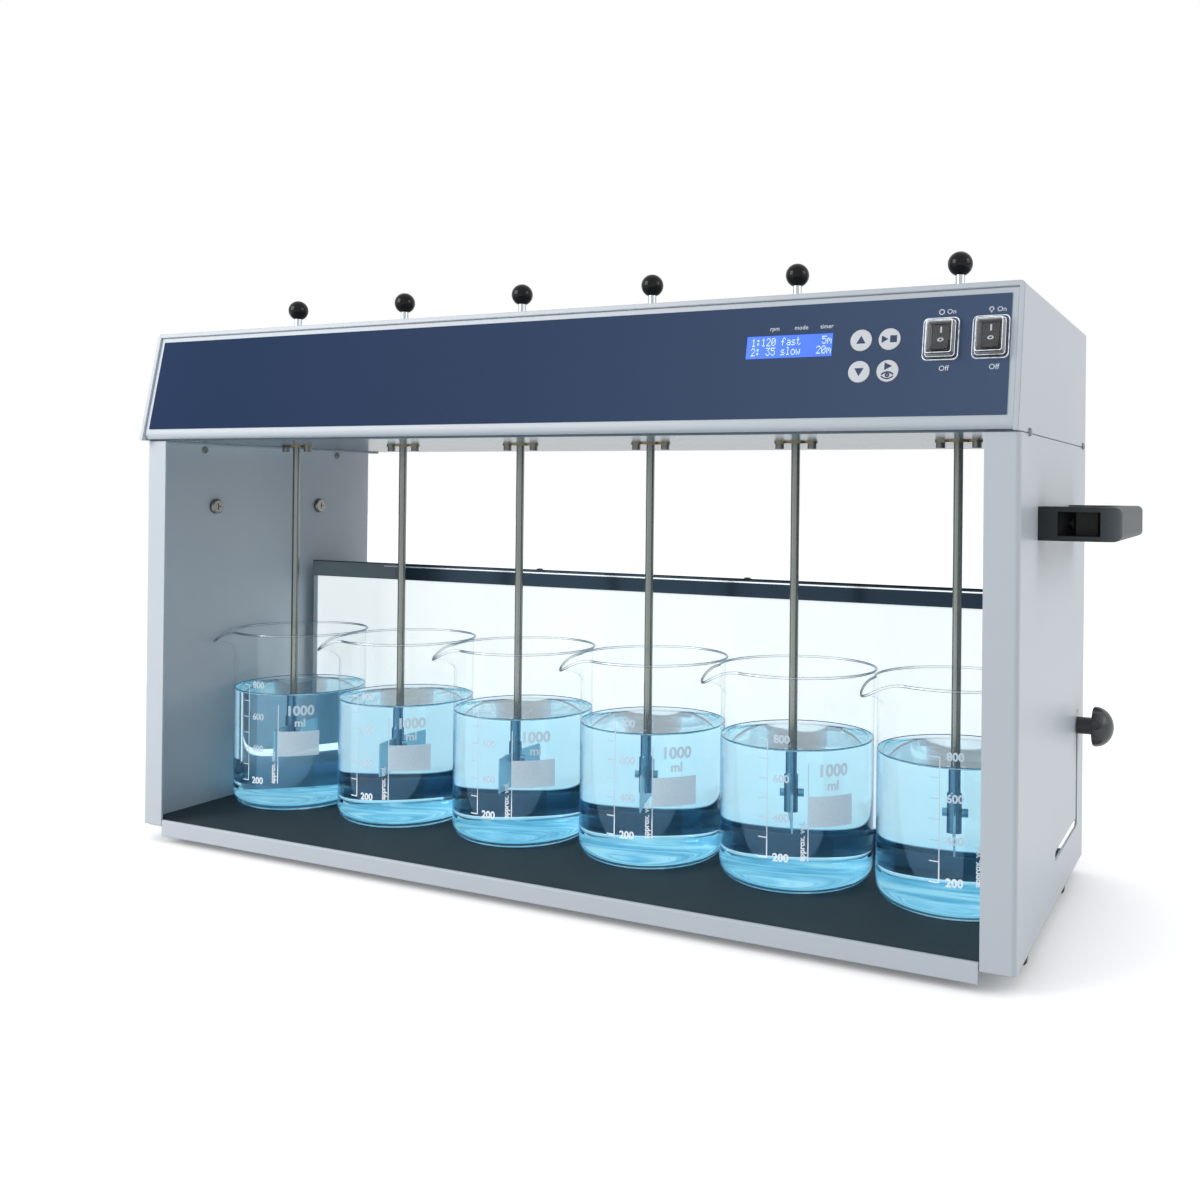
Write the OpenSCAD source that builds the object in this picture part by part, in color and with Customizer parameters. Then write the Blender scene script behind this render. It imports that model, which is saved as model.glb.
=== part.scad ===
// Six-place jar tester: a powder-coated steel cabinet, open at the front and the back, with a
// stirring drive in its hood, six beakers on a rubber mat and a lit panel behind them.
// Millimetres. X runs along the width, Y from the front to the back, Z up. The cabinet is
// drawn with X = 0 at its middle, Y = 0 at the face of its posts and Z = 0 at their foot, and
// stand() then sets the feet on the ground, centred under the object's box.

/* [Beakers] */
// Outside diameter of a beaker's wall
beaker_d = 105; // [100:1:110]
// Height of a beaker
beaker_h = 142; // [135:1:150]
// Thickness of the glass
beaker_wall = 2; // [1.5:0.25:2.5]
// How far the rim flares out past the wall
rim_flare = 2; // [1:0.5:3]
// Radius between the wall and the base
beaker_base_r = 12; // [6:1:16]
// Gap between the rims of two neighbours
beaker_gap = 2; // [1.5:0.5:6]
// Gap between an end beaker's rim and the side panel
wall_gap = 1.5; // [1:0.5:10]
// How far the spout's tip stands out past the wall
spout_reach = 14.5; // [10:0.5:16]
// Heading of the spouts, counted from +X
spout_heading = 235; // [225:1:245]
// How far the beakers stand behind their stirrers
beaker_setback = 8; // [5:0.5:8]

/* [Cabinet] */
// Depth of the cabinet over the side panels
cabinet_d = 254; // [250:1:280]
// Height of the side panels
side_h = 297.2; // [292:0.1:320]
// Width of the post folded at the front of each side panel
post_w = 20; // [16:1:24]
// Thickness of the cabinet's sheet steel
sheet_t = 1.5; // [1.2:0.1:2]
// Outer radius of the sheet's visible bends
bend_r = 3; // [2.5:0.25:4]
// Width of the flanges folded inwards at the top and foot of a side panel
flange_w = 14; // [11:1:18]
// How far the front rail stands above the foot of the posts
rail_rise = 4.5; // [4:0.25:7]
// How far the tray's edges hang below the foot of the posts
rail_drop = 7.5; // [5:0.5:9]
// Gap between the rail's ends and the posts
rail_gap = 0.6; // [0.3:0.1:2]
// Thickness of the rubber mat
mat_t = 2.5; // [2.5:0.25:4]
// Height of the rubber feet below the tray
foot_h = 11; // [10:0.5:16]
// Diameter of a foot at its top
foot_d = 23; // [18:1:28]
// Distance from a side panel's face to the near edge of a foot
foot_inset = 2.5; // [2:0.5:20]
// Distance from the cabinet's front and back to the middle of a foot
foot_end = 56; // [30:1:80]
// Distance from a side panel's face to the edge of the tray
tray_inset = 4; // [3:0.5:8]
// Gap between a foot and the stiffening rib beside it
foot_gap = 3; // [1:0.5:8]

/* [Hood] */
// Height of the hood
hood_h = 84; // [80:1:95]
// How far the hood's lower front edge stands out in front of the posts
hood_front = 7.6; // [5:0.2:12]
// How far the sloping front leans back over its height
hood_lean = 17.3; // [12:0.1:24]
// How far the hood stands out behind the cabinet
hood_rear = 2; // [1:0.5:5]
// Gap between the hood's cover and the side panels
hood_gap = 0.5; // [0.3:0.1:1]
// Width of the hem round the cover's front opening
hem_w = 3; // [2.5:0.25:4]
// How far the control panel sits behind the cover's front edge
panel_recess = 1.5; // [1:0.25:2]
// Height of the edges folded up round the hood's floor
floor_lip = 14; // [8:1:20]
// Diameter of the holes in the hood's top for the stirrer rods
rod_hole_d = 9; // [8.5:0.5:12]

/* [Control panel] */
// Thickness of the printed overlay
overlay_t = 0.5; // [0.3:0.1:0.8]
// Margin between the hood's sides and the overlay
overlay_side = 7; // [6:0.5:12]
// Margin between the hood's lower edge and the overlay, along the slope
overlay_foot = 9; // [7:0.5:12]
// Margin between the hood's upper edge and the overlay, along the slope
overlay_head = 6.8; // [6.4:0.1:10]
// Height along the slope of the middle of the display and the switches
controls_v = 53.4; // [50:0.1:55]
// Width of the display's window
display_w = 54.5; // [50:0.5:58]
// Height of the display's window
display_h = 14; // [12:0.5:16]
// Distance from the display's middle to the first column of keys
display_to_keys = 45; // [42:0.5:48]
// Diameter of a key
key_d = 13; // [10:0.5:14]
// Distance between the columns of keys
key_pitch_u = 17; // [16.8:0.1:19]
// Distance between the rows of keys
key_pitch_v = 19; // [17:0.5:22]
// How far a key travels when it is pressed
key_travel = 0.5; // [0.3:0.1:0.6]
// Distance from the last column of keys to the first switch
keys_to_switch = 30; // [26:0.5:34]
// Distance between the two switches
switch_pitch = 28; // [26:0.5:32]
// Distance from the second switch to the hood's right side
switch_side = 17.5; // [17:0.5:24]
// Width of a switch's clear cap
cap_w = 20.5; // [20:0.5:22]
// Height of a switch's clear cap
cap_h = 25; // [24.5:0.5:27]
// How far a clear cap stands out of the overlay
cap_depth = 6.8; // [6.5:0.1:8]
// Width of a rocker
rocker_w = 9.5; // [8:0.5:10]
// Length of a rocker
rocker_l = 15.5; // [14:0.5:16]
// Angle that a rocker swings through
rocker_swing = 24; // [16:1:26]

/* [Stirrers] */
// Distance from the posts' face to the row of stirrers
stirrer_y = 100; // [95:1:105]
// Diameter of a stirrer rod
rod_d = 6; // [5:0.5:7]
// Diameter of the slit holder at a rod's foot
holder_d = 7.4; // [7.2:0.1:9]
// Length of the holder
holder_l = 25.8; // [22:0.2:30]
// Width of a paddle
paddle_w = 75; // [60:1:76]
// Height of a paddle
paddle_h = 25; // [20:1:30]
// Thickness of a paddle
paddle_t = 1; // [0.8:0.1:1.2]
// Height of a paddle's lower edge over the mat
paddle_clear = 39.8; // [30:0.2:50]
// How far a paddle hangs below its holder
paddle_hang = 7.2; // [5:0.2:10]
// Diameter of the ball knob on a rod's top
ball_d = 16; // [12:1:20]
// Height of a ball's middle over the hood's top
ball_rise = 28.3; // [24:0.1:34]

/* [Drive] */
// Teeth on a stirrer's pulley
pulley_teeth = 24; // [22:1:28]
// Teeth on the motor's pulley
motor_teeth = 12; // [12:1:16]
// Distance between two teeth along the belt
tooth_pitch = 4; // [3.5:0.25:4]
// Width of a belt
belt_w = 6; // [5:0.5:8]
// Thickness of a belt
belt_t = 1.4; // [1:0.1:2]
// Outside diameter of a pulley's hollow shaft
hollow_shaft_d = 10; // [9.5:0.5:12]
// Outside diameter of a bearing's barrel
bearing_d = 13.6; // [13:0.2:16]
// Height of a bearing's barrel over the hood's floor
bearing_h = 8.5; // [6:0.5:10]
// Thickness of a bearing's flange
bearing_flange_t = 1.5; // [1:0.25:2.5]
// Distance of a bearing's screws from its axis
bearing_screw_x = 11.7; // [11:0.1:14]
// Distance from the first stirrer to the motor, sideways
motor_x = 38; // [30:1:50]
// Distance from the row of stirrers back to the motor
motor_y = 88; // [75:1:100]
// Diameter of the motor
motor_d = 52; // [44:1:60]
// Gap between the motor and the hood's top
motor_headroom = 7.7; // [4:0.1:12]

/* [Lit panel] */
// Gap between the beakers' rims and the light box
light_gap = 11.5; // [8:0.5:20]
// Height of the light box
light_h = 174; // [160:1:180]
// Height of the light box's foot over the posts' foot
light_z = 17; // [17:0.5:22]
// Gap between the light box and each side panel
light_side_gap = 7.5; // [5:0.5:10]
// Distance from the cabinet's back to the light box
light_back = 8; // [4:1:14]
// Thickness of the light box's sheet
light_sheet_t = 1.2; // [1:0.1:1.5]
// Height of the polished lip along the light box's top
lip_h = 14; // [12:0.5:20]
// How far the lip stands above the light box
lip_rise = 6; // [4:0.5:8]
// Thickness of the diffuser
diffuser_t = 3; // [2:0.5:4]

/* [Clamp knobs] */
// Distance from the light box's back to the clamp studs
stud_back = 22.4; // [20:0.1:30]
// Height of the studs over the light box's foot
stud_rise = 82.5; // [75:0.5:90]
// Diameter of a clamp stud
stud_d = 5.6; // [5:0.1:6]
// Width of the L-shaped slot that a stud runs in
slot_w = 6.5; // [6.5:0.1:8]
// How far the slot runs down from the stud
slot_drop = 69; // [60:1:72]
// How far the slot runs forward at its lower end
slot_run = 89.6; // [70:0.2:100]
// Diameter of a clamp knob's head
knob_d = 28; // [24:1:34]
// Depth of a clamp knob's domed head
knob_head = 14; // [10:0.5:16]
// Length of a clamp knob's hub
knob_hub_l = 10.7; // [8:0.1:14]
// Diameter of a clamp knob's hub
knob_hub_d = 12; // [10:1:14]

/* [Handles] */
// Distance between the two screws of a handle
handle_pitch = 120.3; // [110:0.1:140]
// Distance from the top of the side panels down to the handles' middle
handle_drop = 51.2; // [40:0.1:80]
// How far a handle stands out of the side panel
handle_reach = 46; // [42:1:55]
// Height of a handle's section
handle_h = 20; // [18:0.5:26]
// Thickness of the grip
grip_t = 11; // [9:0.5:13]
// Thickness of a handle's leg
leg_t = 23; // [20:0.5:26]
// Diameter of a handle screw's head
handle_screw_head = 12.4; // [10:0.2:14]

/* [Hidden] */
stations = 6;
// Each paddle's heading in the stored pose, from +Y towards -X
paddle_headings = [22, 17, 15, 21, 21, 13];

$fn = 48;
eps = 0.01;            // overrun of a cut past a face
cut = 1;               // overrun of a cut through open air
slide_gap = 0.3;       // clearance between parts that move past each other
fit_gap = 0.06;        // radial clearance of a shaft in its bore
loose_gap = 0.1;       // radial clearance of a screw or a fixed part in its hole

rim_d = beaker_d + 2 * rim_flare;
station_pitch = rim_d + beaker_gap;
cabinet_w = stations * station_pitch - beaker_gap + 2 * (wall_gap + sheet_t);
half_w = cabinet_w / 2;
function station_x(i) = (i - (stations + 1) / 2) * station_pitch;
beaker_y = stirrer_y + beaker_setback;

tray_z = -sheet_t;
hood_z = side_h + hood_gap;
hood_top = hood_z + hood_h;
floor_top = side_h + sheet_t;
lean = atan(hood_lean / hood_h);
slope_l = sqrt(pow(hood_lean, 2) + pow(hood_h, 2));
overlay_h = slope_l - overlay_foot - overlay_head;
hood_back = cabinet_d + hood_rear;
total_front = -hood_front;
inlet_flange_t = 2.5;
total_back = hood_back + inlet_flange_t;

// ---------------------------------------------------------------- shared shapes

// Sets the drawn cabinet on its feet, with the origin under the middle of its box
module stand() {
  translate([0, -(total_front + total_back) / 2, foot_h - tray_z]) children();
}

// Extrudes an outline drawn in Y and Z along X, from x0 for a length l
module along_x(x0, l) {
  translate([x0, 0, 0]) rotate([90, 0, 90]) linear_extrude(l) children();
}

// Places children on the hood's slope: u from its left side, v up the slope, n out of it
module on_slope(u, v, n = 0) {
  translate([-half_w, -hood_front, hood_z]) rotate([90 - lean, 0, 0])
    translate([u, v, n]) children();
}

// Rectangle from the origin with rounded corners
module round_rect(w, h, r) {
  translate([r, 0]) square([w - 2 * r, h]);
  translate([0, r]) square([w, h - 2 * r]);
  for (x = [r, w - r], y = [r, h - r]) translate([x, y]) circle(r);
}

// Block w by h by t with rounded upright edges, centred in X and Y, from z = 0
module round_plate(w, h, t, r) {
  translate([-w / 2, -h / 2, 0]) linear_extrude(t) round_rect(w, h, r);
}

// Points of an arc about c, radius r, from angle a to angle b in n steps
function arc(c, r, a, b, n) =
  [for (k = [0:n]) c + r * [cos(a + (b - a) * k / n), sin(a + (b - a) * k / n)]];

// ---------------------------------------------------------------- hood

hood_colour = [0.85, 0.87, 0.9];

module hood_outline() {
  polygon([[-hood_front, hood_z], [-hood_front + hood_lean, hood_top],
           [hood_back, hood_top], [hood_back, hood_z]]);
}

// The cover's outer form: the slope's profile with rounded top and rear edges
module hood_block() {
  intersection() {
    along_x(-half_w, cabinet_w) hood_outline();
    translate([0, hood_back + cut, 0]) rotate([90, 0, 0]) linear_extrude(hood_back + 2 * cut + hood_front)
      translate([-half_w, hood_z - 2 * bend_r])
        round_rect(cabinet_w, hood_h + 2 * bend_r, bend_r);
    translate([-half_w, -hood_front - 2 * bend_r, hood_z - cut])
      linear_extrude(hood_h + 2 * cut)
        round_rect(cabinet_w, hood_back + hood_front + 2 * bend_r, bend_r);
    along_x(-half_w - cut, cabinet_w + 2 * cut)
      translate([-hood_front - 2 * bend_r, hood_z - 2 * bend_r])
        round_rect(hood_back + hood_front + 2 * bend_r, hood_h + 2 * bend_r, bend_r);
  }
}

inlet_side = 48;
inlet_rise = 35.3;
inlet_x = half_w - inlet_side;
inlet_z = hood_z + inlet_rise;
inlet_w = 27.5;
inlet_h = 20;
inlet_body_gap = 0.3;
vent_l = 46;
vent_w = 5;
vent_pitch = 11;
vent_count = 5;
vent_x = -184;

module hood_cover() color(hood_colour) {
  cavity_front = -hood_front + hem_w / cos(lean);
  difference() {
    hood_block();
    along_x(-half_w + sheet_t, cabinet_w - 2 * sheet_t)
      polygon([[cavity_front - cut * tan(lean), hood_z - cut],
               [cavity_front + (hood_h - sheet_t) * tan(lean), hood_top - sheet_t],
               [hood_back - sheet_t, hood_top - sheet_t],
               [hood_back - sheet_t, hood_z - cut]]);
    on_slope(hem_w, -hood_lean, -2 * hem_w)
      cube([cabinet_w - 2 * hem_w, slope_l - hem_w + hood_lean, 3 * hem_w]);
    for (i = [1:stations])
      translate([station_x(i), stirrer_y, hood_top - 2 * sheet_t])
        cylinder(h = 3 * sheet_t, d = rod_hole_d);
    translate([inlet_x, hood_back - sheet_t / 2, inlet_z])
      cube([inlet_w + 2 * inlet_body_gap, 2 * sheet_t, inlet_h + 2 * inlet_body_gap], center = true);
    for (k = [0:vent_count - 1])
      translate([vent_x, hood_back + cut, inlet_z + (k - (vent_count - 1) / 2) * vent_pitch])
        rotate([90, 0, 0]) linear_extrude(sheet_t + 2 * cut)
          translate([-vent_l / 2, -vent_w / 2]) round_rect(vent_l, vent_w, vent_w / 2 - eps);
  }
}

floor_side = half_w - sheet_t - loose_gap;
floor_back = hood_back - sheet_t - loose_gap;
bearing_screw_d = 3;

module hood_floor() color(hood_colour) {
  difference() {
    union() {
      translate([-floor_side, sheet_t, side_h])
        cube([2 * floor_side, floor_back - sheet_t, sheet_t]);
      for (x = [-floor_side, floor_side - sheet_t])
        translate([x, 3 * flange_w, side_h])
          cube([sheet_t, floor_back - 3 * flange_w, floor_lip]);
      translate([-floor_side, floor_back - sheet_t, side_h])
        cube([2 * floor_side, sheet_t, floor_lip]);
    }
    for (i = [1:stations]) {
      translate([station_x(i), stirrer_y, side_h - cut])
        cylinder(h = sheet_t + 2 * cut, d = bearing_d + 2 * loose_gap);
      for (s = [-1, 1])
        translate([station_x(i) + s * bearing_screw_x, stirrer_y, side_h - cut])
          cylinder(h = sheet_t + 2 * cut, d = bearing_screw_d + 2 * loose_gap);
    }
  }
}

// ---------------------------------------------------------------- control panel

panel_gap = 0.3;
panel_bend = 4;
panel_flange = 16;
panel_face = -panel_recess;
panel_rear = panel_face - sheet_t;
overlay_face = panel_face + overlay_t;
switch_u = cabinet_w - switch_side - switch_pitch;
key_u = switch_u - keys_to_switch - key_pitch_u;
display_u = key_u - display_to_keys;
key_v = controls_v + 1.6;
key_gap = 0.3;
window_gap = 0.2;
body_rim = 4.5;
body_w = rocker_w + body_rim;
body_l = rocker_l + body_rim;
body_depth = 20;
bezel_side = 3.5;
bezel_end = 3;
bezel_w = cap_w - bezel_side;
bezel_l = cap_h - bezel_end;
bezel_t = 1.5;
bezel_r = 2;

// Everything on the panel goes through it: the cut-outs, grown by g
module panel_openings(depth, g) {
  translate([display_u - display_w / 2 - g, controls_v - display_h / 2 - g, -depth])
    cube([display_w + 2 * g, display_h + 2 * g, 2 * depth]);
  for (c = [0, 1], r = [0, 1])
    translate([key_u + c * key_pitch_u, key_v - r * key_pitch_v, -depth])
      cylinder(h = 2 * depth, d = key_d + 2 * key_gap);
  for (k = [0, 1])
    translate([switch_u + k * switch_pitch - body_w / 2 - g, controls_v - body_l / 2 - g, -depth])
      cube([body_w + 2 * g, body_l + 2 * g, 2 * depth]);
}

// The folded sheet: up the slope, round the lower bend and back over the hood's floor
module panel_outline() {
  base = [-hood_front, hood_z] - panel_face * [cos(lean), -sin(lean)];
  up = [sin(lean), cos(lean)];
  in = [cos(lean), -sin(lean)];
  t = (floor_top + panel_bend - base[1] + panel_bend * sin(lean)) / cos(lean);
  c = base + t * up + panel_bend * in;
  top = base + (slope_l - hem_w - panel_gap) * up;
  polygon(concat(
    [top],
    arc(c, panel_bend, 180 - lean, 270, 6),
    [[panel_flange, floor_top], [panel_flange, floor_top + sheet_t]],
    arc(c, panel_bend - sheet_t, 270, 180 - lean, 6),
    [top + sheet_t * in]));
}

module front_panel() color(hood_colour) {
  side = hem_w + panel_gap;
  difference() {
    along_x(-half_w + side, cabinet_w - 2 * side) panel_outline();
    on_slope(0, 0, panel_face) panel_openings(2 * sheet_t, window_gap);
  }
}

module control_overlay() color([0.2, 0.28, 0.4]) {
  on_slope(0, 0, panel_face) difference() {
    translate([overlay_side, overlay_foot, 0])
      linear_extrude(overlay_t)
        round_rect(cabinet_w - 2 * overlay_side, overlay_h, overlay_t);
    panel_openings(2 * overlay_t, window_gap);
  }
}

display_frame = 4;
display_depth = 8;

module display() color([0.25, 0.44, 0.93]) {
  on_slope(display_u, controls_v, 0) {
    glass_front = overlay_face - window_gap;
    translate([-display_w / 2, -display_h / 2, panel_rear - eps])
      cube([display_w, display_h, glass_front - panel_rear + eps]);
    translate([-display_w / 2 - display_frame, -display_h / 2 - display_frame, panel_rear - display_depth])
      cube([display_w + 2 * display_frame, display_h + 2 * display_frame, display_depth]);
  }
}

key_proud = 0.4;
key_flange_w = 1.2;
key_flange_t = 0.8;
key_edge = 0.2;
stem_d = 5;
board_n = -16;         // face of the control board behind the slope
tact_h = 4;            // height of a switch on the board
board_t = 1.6;

// One push key: its cap, the flange that holds it behind the panel and its stem
module key(column, row) {
  on_slope(key_u + column * key_pitch_u, key_v - row * key_pitch_v, 0) {
    cap_foot = panel_rear - slide_gap - key_flange_t;
    stem_foot = board_n + tact_h + key_travel + slide_gap;
    rotate_extrude() polygon([
      [0, stem_foot], [stem_d / 2, stem_foot], [stem_d / 2, cap_foot],
      [key_d / 2 + key_flange_w, cap_foot], [key_d / 2 + key_flange_w, cap_foot + key_flange_t],
      [key_d / 2, cap_foot + key_flange_t],
      [key_d / 2, overlay_face + key_proud - key_edge], [key_d / 2 - key_edge, overlay_face + key_proud],
      [0, overlay_face + key_proud]]);
  }
}

key_colour = [0.92, 0.93, 0.95];
module key_up() color(key_colour) key(0, 0);
module key_down() color(key_colour) key(0, 1);
module key_start() color(key_colour) key(1, 0);
module key_light() color(key_colour) key(1, 1);

pivot_n = overlay_face;       // the rockers swing about an axis level with the overlay
pivot_pin_d = 2;
pivot_pin_l = 1.2;
rocker_waist = 1.5;           // height of the rocker's valley over its axis
rocker_end_gap = 0.95;
rocker_room = rocker_l / 2 + rocker_end_gap;
rocker_side_gap = 0.35;
terminal = [0.8, 4.8, 7];     // thickness, width and length of a switch's terminal

// Places children at switch k, on the rocker's axis
module at_switch(k) {
  on_slope(switch_u + k * switch_pitch, controls_v, pivot_n) children();
}

module switch_bodies() color([0.16, 0.17, 0.18]) {
  for (k = [0, 1]) at_switch(k) difference() {
    union() {
      round_plate(bezel_w, bezel_l, bezel_t, bezel_r);
      translate([-body_w / 2, -body_l / 2, -body_depth]) cube([body_w, body_l, body_depth + eps]);
      for (x = [-1, 1] * body_w / 4)
        translate([x - terminal[0] / 2, -terminal[1] / 2, -body_depth - terminal[2] + eps]) cube(terminal);
    }
    translate([-rocker_w / 2 - rocker_side_gap, -rocker_room, -rocker_room])
      cube([rocker_w + 2 * rocker_side_gap, 2 * rocker_room, rocker_room + bezel_t + cut]);
    rotate([0, 90, 0])
      cylinder(h = rocker_w + 2 * (pivot_pin_l + rocker_side_gap), d = pivot_pin_d + 2 * fit_gap,
               center = true);
  }
}

// A rocker tilted by a: a half-round bar with a shallow valley across its top
module rocker(k) {
  r = rocker_l / 2;
  rise = r * tan(rocker_swing / 2);
  at_switch(k) rotate([-rocker_swing / 2, 0, 0]) {
    translate([-rocker_w / 2, 0, 0]) along_x(0, rocker_w) {
      polygon(concat([[0, rocker_waist], [-r, rocker_waist + rise], [-r, 0]],
                     arc([0, 0], r, 180, 360, 16),
                     [[r, rocker_waist + rise]]));
    }
    rotate([0, 90, 0]) cylinder(h = rocker_w + 2 * pivot_pin_l, d = pivot_pin_d, center = true);
  }
}

module rocker_drive() color([0.08, 0.08, 0.09]) rocker(0);
module rocker_lamp() color([0.1, 0.1, 0.11]) rocker(1);

cap_wall = 0.9;
cap_r = 3;

module switch_caps() color([0.8, 0.86, 0.9, 0.4]) {
  for (k = [0, 1]) at_switch(k) difference() {
    round_plate(cap_w, cap_h, cap_depth, cap_r);
    translate([0, 0, -cut])
      round_plate(cap_w - 2 * cap_wall, cap_h - 2 * cap_wall, cap_depth - cap_wall + cut, cap_r - cap_wall);
  }
}

// ---------------------------------------------------------------- cabinet

cabinet_colour = [0.86, 0.88, 0.91];
light_front = beaker_y + rim_d / 2 + light_gap;
light_d = cabinet_d - light_back - light_front;
stud_y = cabinet_d - light_back - stud_back;
stud_z = light_z + stud_rise;
slot_end_z = stud_z - slot_drop;
slot_end_y = stud_y - slot_run;
mark_hole_d = 3;
mark_hole_rise = 10;
handle_z = side_h - handle_drop;
handle_screw_d = 6;

// Plan of a side panel: the wall and the post, with a rounded bend between them
module side_plan() {
  difference() {
    union() {
      translate([half_w - sheet_t, bend_r]) square([sheet_t, cabinet_d - bend_r]);
      translate([half_w - post_w, 0]) square([post_w - bend_r, sheet_t]);
      intersection() {
        translate([half_w - bend_r, bend_r]) circle(bend_r);
        translate([half_w - bend_r, 0]) square(bend_r);
      }
    }
    translate([half_w - bend_r, bend_r]) circle(bend_r - sheet_t);
  }
}

module l_slot() {
  r = slot_w / 2;
  translate([stud_y - r, slot_end_z]) square([slot_w, slot_drop]);
  translate([slot_end_y, slot_end_z - r]) square([slot_run, slot_w]);
  for (p = [[stud_y, stud_z], [stud_y, slot_end_z], [slot_end_y, slot_end_z]])
    translate(p) circle(r);
}

module right_panel_form() {
  difference() {
    union() {
      linear_extrude(side_h) side_plan();
      for (z = [0, side_h - sheet_t])
        translate([half_w - flange_w, sheet_t + bend_r, z])
          cube([flange_w - sheet_t / 2, cabinet_d - sheet_t - bend_r, sheet_t]);
    }
    along_x(half_w - flange_w / 2, flange_w) {
      l_slot();
      translate([stud_y, stud_z + mark_hole_rise]) circle(d = mark_hole_d);
      for (s = [-1, 1])
        translate([cabinet_d / 2 + s * handle_pitch / 2, handle_z])
          circle(d = handle_screw_d + 2 * loose_gap);
    }
  }
}

module right_side_panel() color(cabinet_colour) right_panel_form();
module left_side_panel() color(cabinet_colour) mirror([1, 0, 0]) right_panel_form();

tray_side = half_w - tray_inset;
tray_back = cabinet_d - sheet_t;
tray_rib_x = half_w - foot_inset - foot_d - foot_gap;

module base_tray() color(cabinet_colour) {
  rail_t = 2 * sheet_t;
  rail_l = cabinet_w - 2 * (post_w + rail_gap);
  translate([-tray_side, rail_t, tray_z]) cube([2 * tray_side, tray_back - rail_t, sheet_t]);
  along_x(-rail_l / 2, rail_l) {
    translate([0, tray_z - rail_drop + sheet_t]) square([sheet_t, rail_drop + rail_rise - sheet_t]);
    translate([0, tray_z]) square([rail_t + eps, rail_rise - sheet_t - tray_z]);
    translate([sheet_t, rail_rise - sheet_t]) circle(sheet_t);
  }
  for (x = [-tray_rib_x, tray_rib_x - sheet_t])
    translate([x, rail_t, -rail_drop]) cube([sheet_t, tray_back - rail_t, rail_drop + tray_z + eps]);
  translate([-tray_rib_x, tray_back - sheet_t, -rail_drop])
    cube([2 * tray_rib_x, sheet_t, rail_drop + tray_z + eps]);
}

mat_edge = 0.5;

module base_mat() color([0.16, 0.21, 0.24]) {
  y0 = 2 * sheet_t + mat_edge;
  inner = half_w - flange_w - mat_edge;
  outer = half_w - sheet_t - mat_edge;
  l = cabinet_d - y0 - 2 * mat_edge - sheet_t;
  translate([-inner, y0, 0]) cube([2 * inner, l, mat_t]);
  translate([-outer, y0 + bend_r, sheet_t]) cube([2 * outer, l - bend_r, mat_t - sheet_t]);
}

module feet() color([0.1, 0.1, 0.11]) {
  taper = 1.5;
  edge = 1.2;
  for (x = [-1, 1] * (half_w - foot_inset - foot_d / 2), y = [foot_end, cabinet_d - foot_end])
    translate([x, y, tray_z - foot_h]) rotate_extrude() polygon(concat(
      [[0, 0]],
      arc([foot_d / 2 - taper - edge, edge], edge, 270, 360, 4),
      [[foot_d / 2, foot_h], [0, foot_h]]));
}

// ---------------------------------------------------------------- handles

handle_corner_r = 12;
handle_edge_r = 4;
finger_r = 6;
pocket_wall = 3;
pocket_depth = 14;
pocket_draft = 3;
insert_l = 18;

// Plan of a handle: a bridge with two thick legs, drawn on the right side
module handle_solid_plan() {
  l = handle_pitch + leg_t;
  gap_l = handle_pitch - leg_t;
  difference() {
    translate([-handle_corner_r, -l / 2])
      round_rect(handle_reach + handle_corner_r, l, handle_corner_r);
    translate([-handle_corner_r - cut, -l / 2 - cut]) square([handle_corner_r + cut, l + 2 * cut]);
    translate([-finger_r, -gap_l / 2])
      round_rect(handle_reach - grip_t + finger_r, gap_l, finger_r);
  }
}

// The same plan between the handle's skins, where both legs are cored out from their ends
module handle_plan() {
  difference() {
    handle_solid_plan();
    for (s = [-1, 1]) scale([1, s]) translate([handle_reach - grip_t, -(handle_pitch + leg_t) / 2]) polygon([
      [0, -eps], [0, pocket_wall], [-pocket_draft, pocket_depth],
      [-2 * leg_t / 3, pocket_depth], [-leg_t, pocket_wall], [-leg_t - pocket_draft / 3, -eps]]);
  }
}

module handle_form() {
  translate([half_w, cabinet_d / 2, handle_z]) difference() {
    intersection() {
      union() {
        translate([0, 0, -handle_h / 2]) linear_extrude(pocket_wall) handle_solid_plan();
        translate([0, 0, handle_h / 2 - pocket_wall]) linear_extrude(pocket_wall) handle_solid_plan();
        translate([0, 0, -handle_h / 2]) linear_extrude(handle_h) handle_plan();
      }
      rotate([90, 0, 0]) linear_extrude(handle_pitch + 2 * leg_t, center = true)
        translate([-2 * handle_edge_r, -handle_h / 2])
          round_rect(handle_reach + 2 * handle_edge_r, handle_h, handle_edge_r);
    }
    for (s = [-1, 1])
      translate([-cut, s * handle_pitch / 2, 0]) rotate([0, 90, 0])
        cylinder(h = insert_l + cut, d = handle_screw_d + 2 * loose_gap);
  }
}

handle_colour = [0.23, 0.25, 0.27];
module handle_right() color(handle_colour) handle_form();
module handle_left() color(handle_colour) mirror([1, 0, 0]) handle_form();

module handle_screws() color([0.6, 0.6, 0.58]) {
  head_t = 3.2;
  edge = 1.4;
  recess = [0.9, 5.4, 3];
  for (m = [0, 1], s = [-1, 1]) mirror([m, 0, 0])
    translate([half_w - sheet_t, cabinet_d / 2 + s * handle_pitch / 2, handle_z])
      rotate([0, 90, 0]) {
        difference() {
          translate([0, 0, -head_t]) rotate_extrude() polygon(concat(
            [[0, 0]],
            arc([handle_screw_head / 2 - edge, edge], edge, 270, 360, 4),
            [[handle_screw_head / 2, head_t], [0, head_t]]));
          for (a = [0, 90]) rotate(a)
            translate([0, 0, -head_t]) cube(recess, center = true);
        }
        cylinder(h = sheet_t + insert_l - head_t, d = handle_screw_d);
      }
}

// ---------------------------------------------------------------- lit panel

light_w = cabinet_w - 2 * (sheet_t + light_side_gap);
light_lip_w = 4;
sleeve_d = 12;
boss_l = 10;

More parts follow.
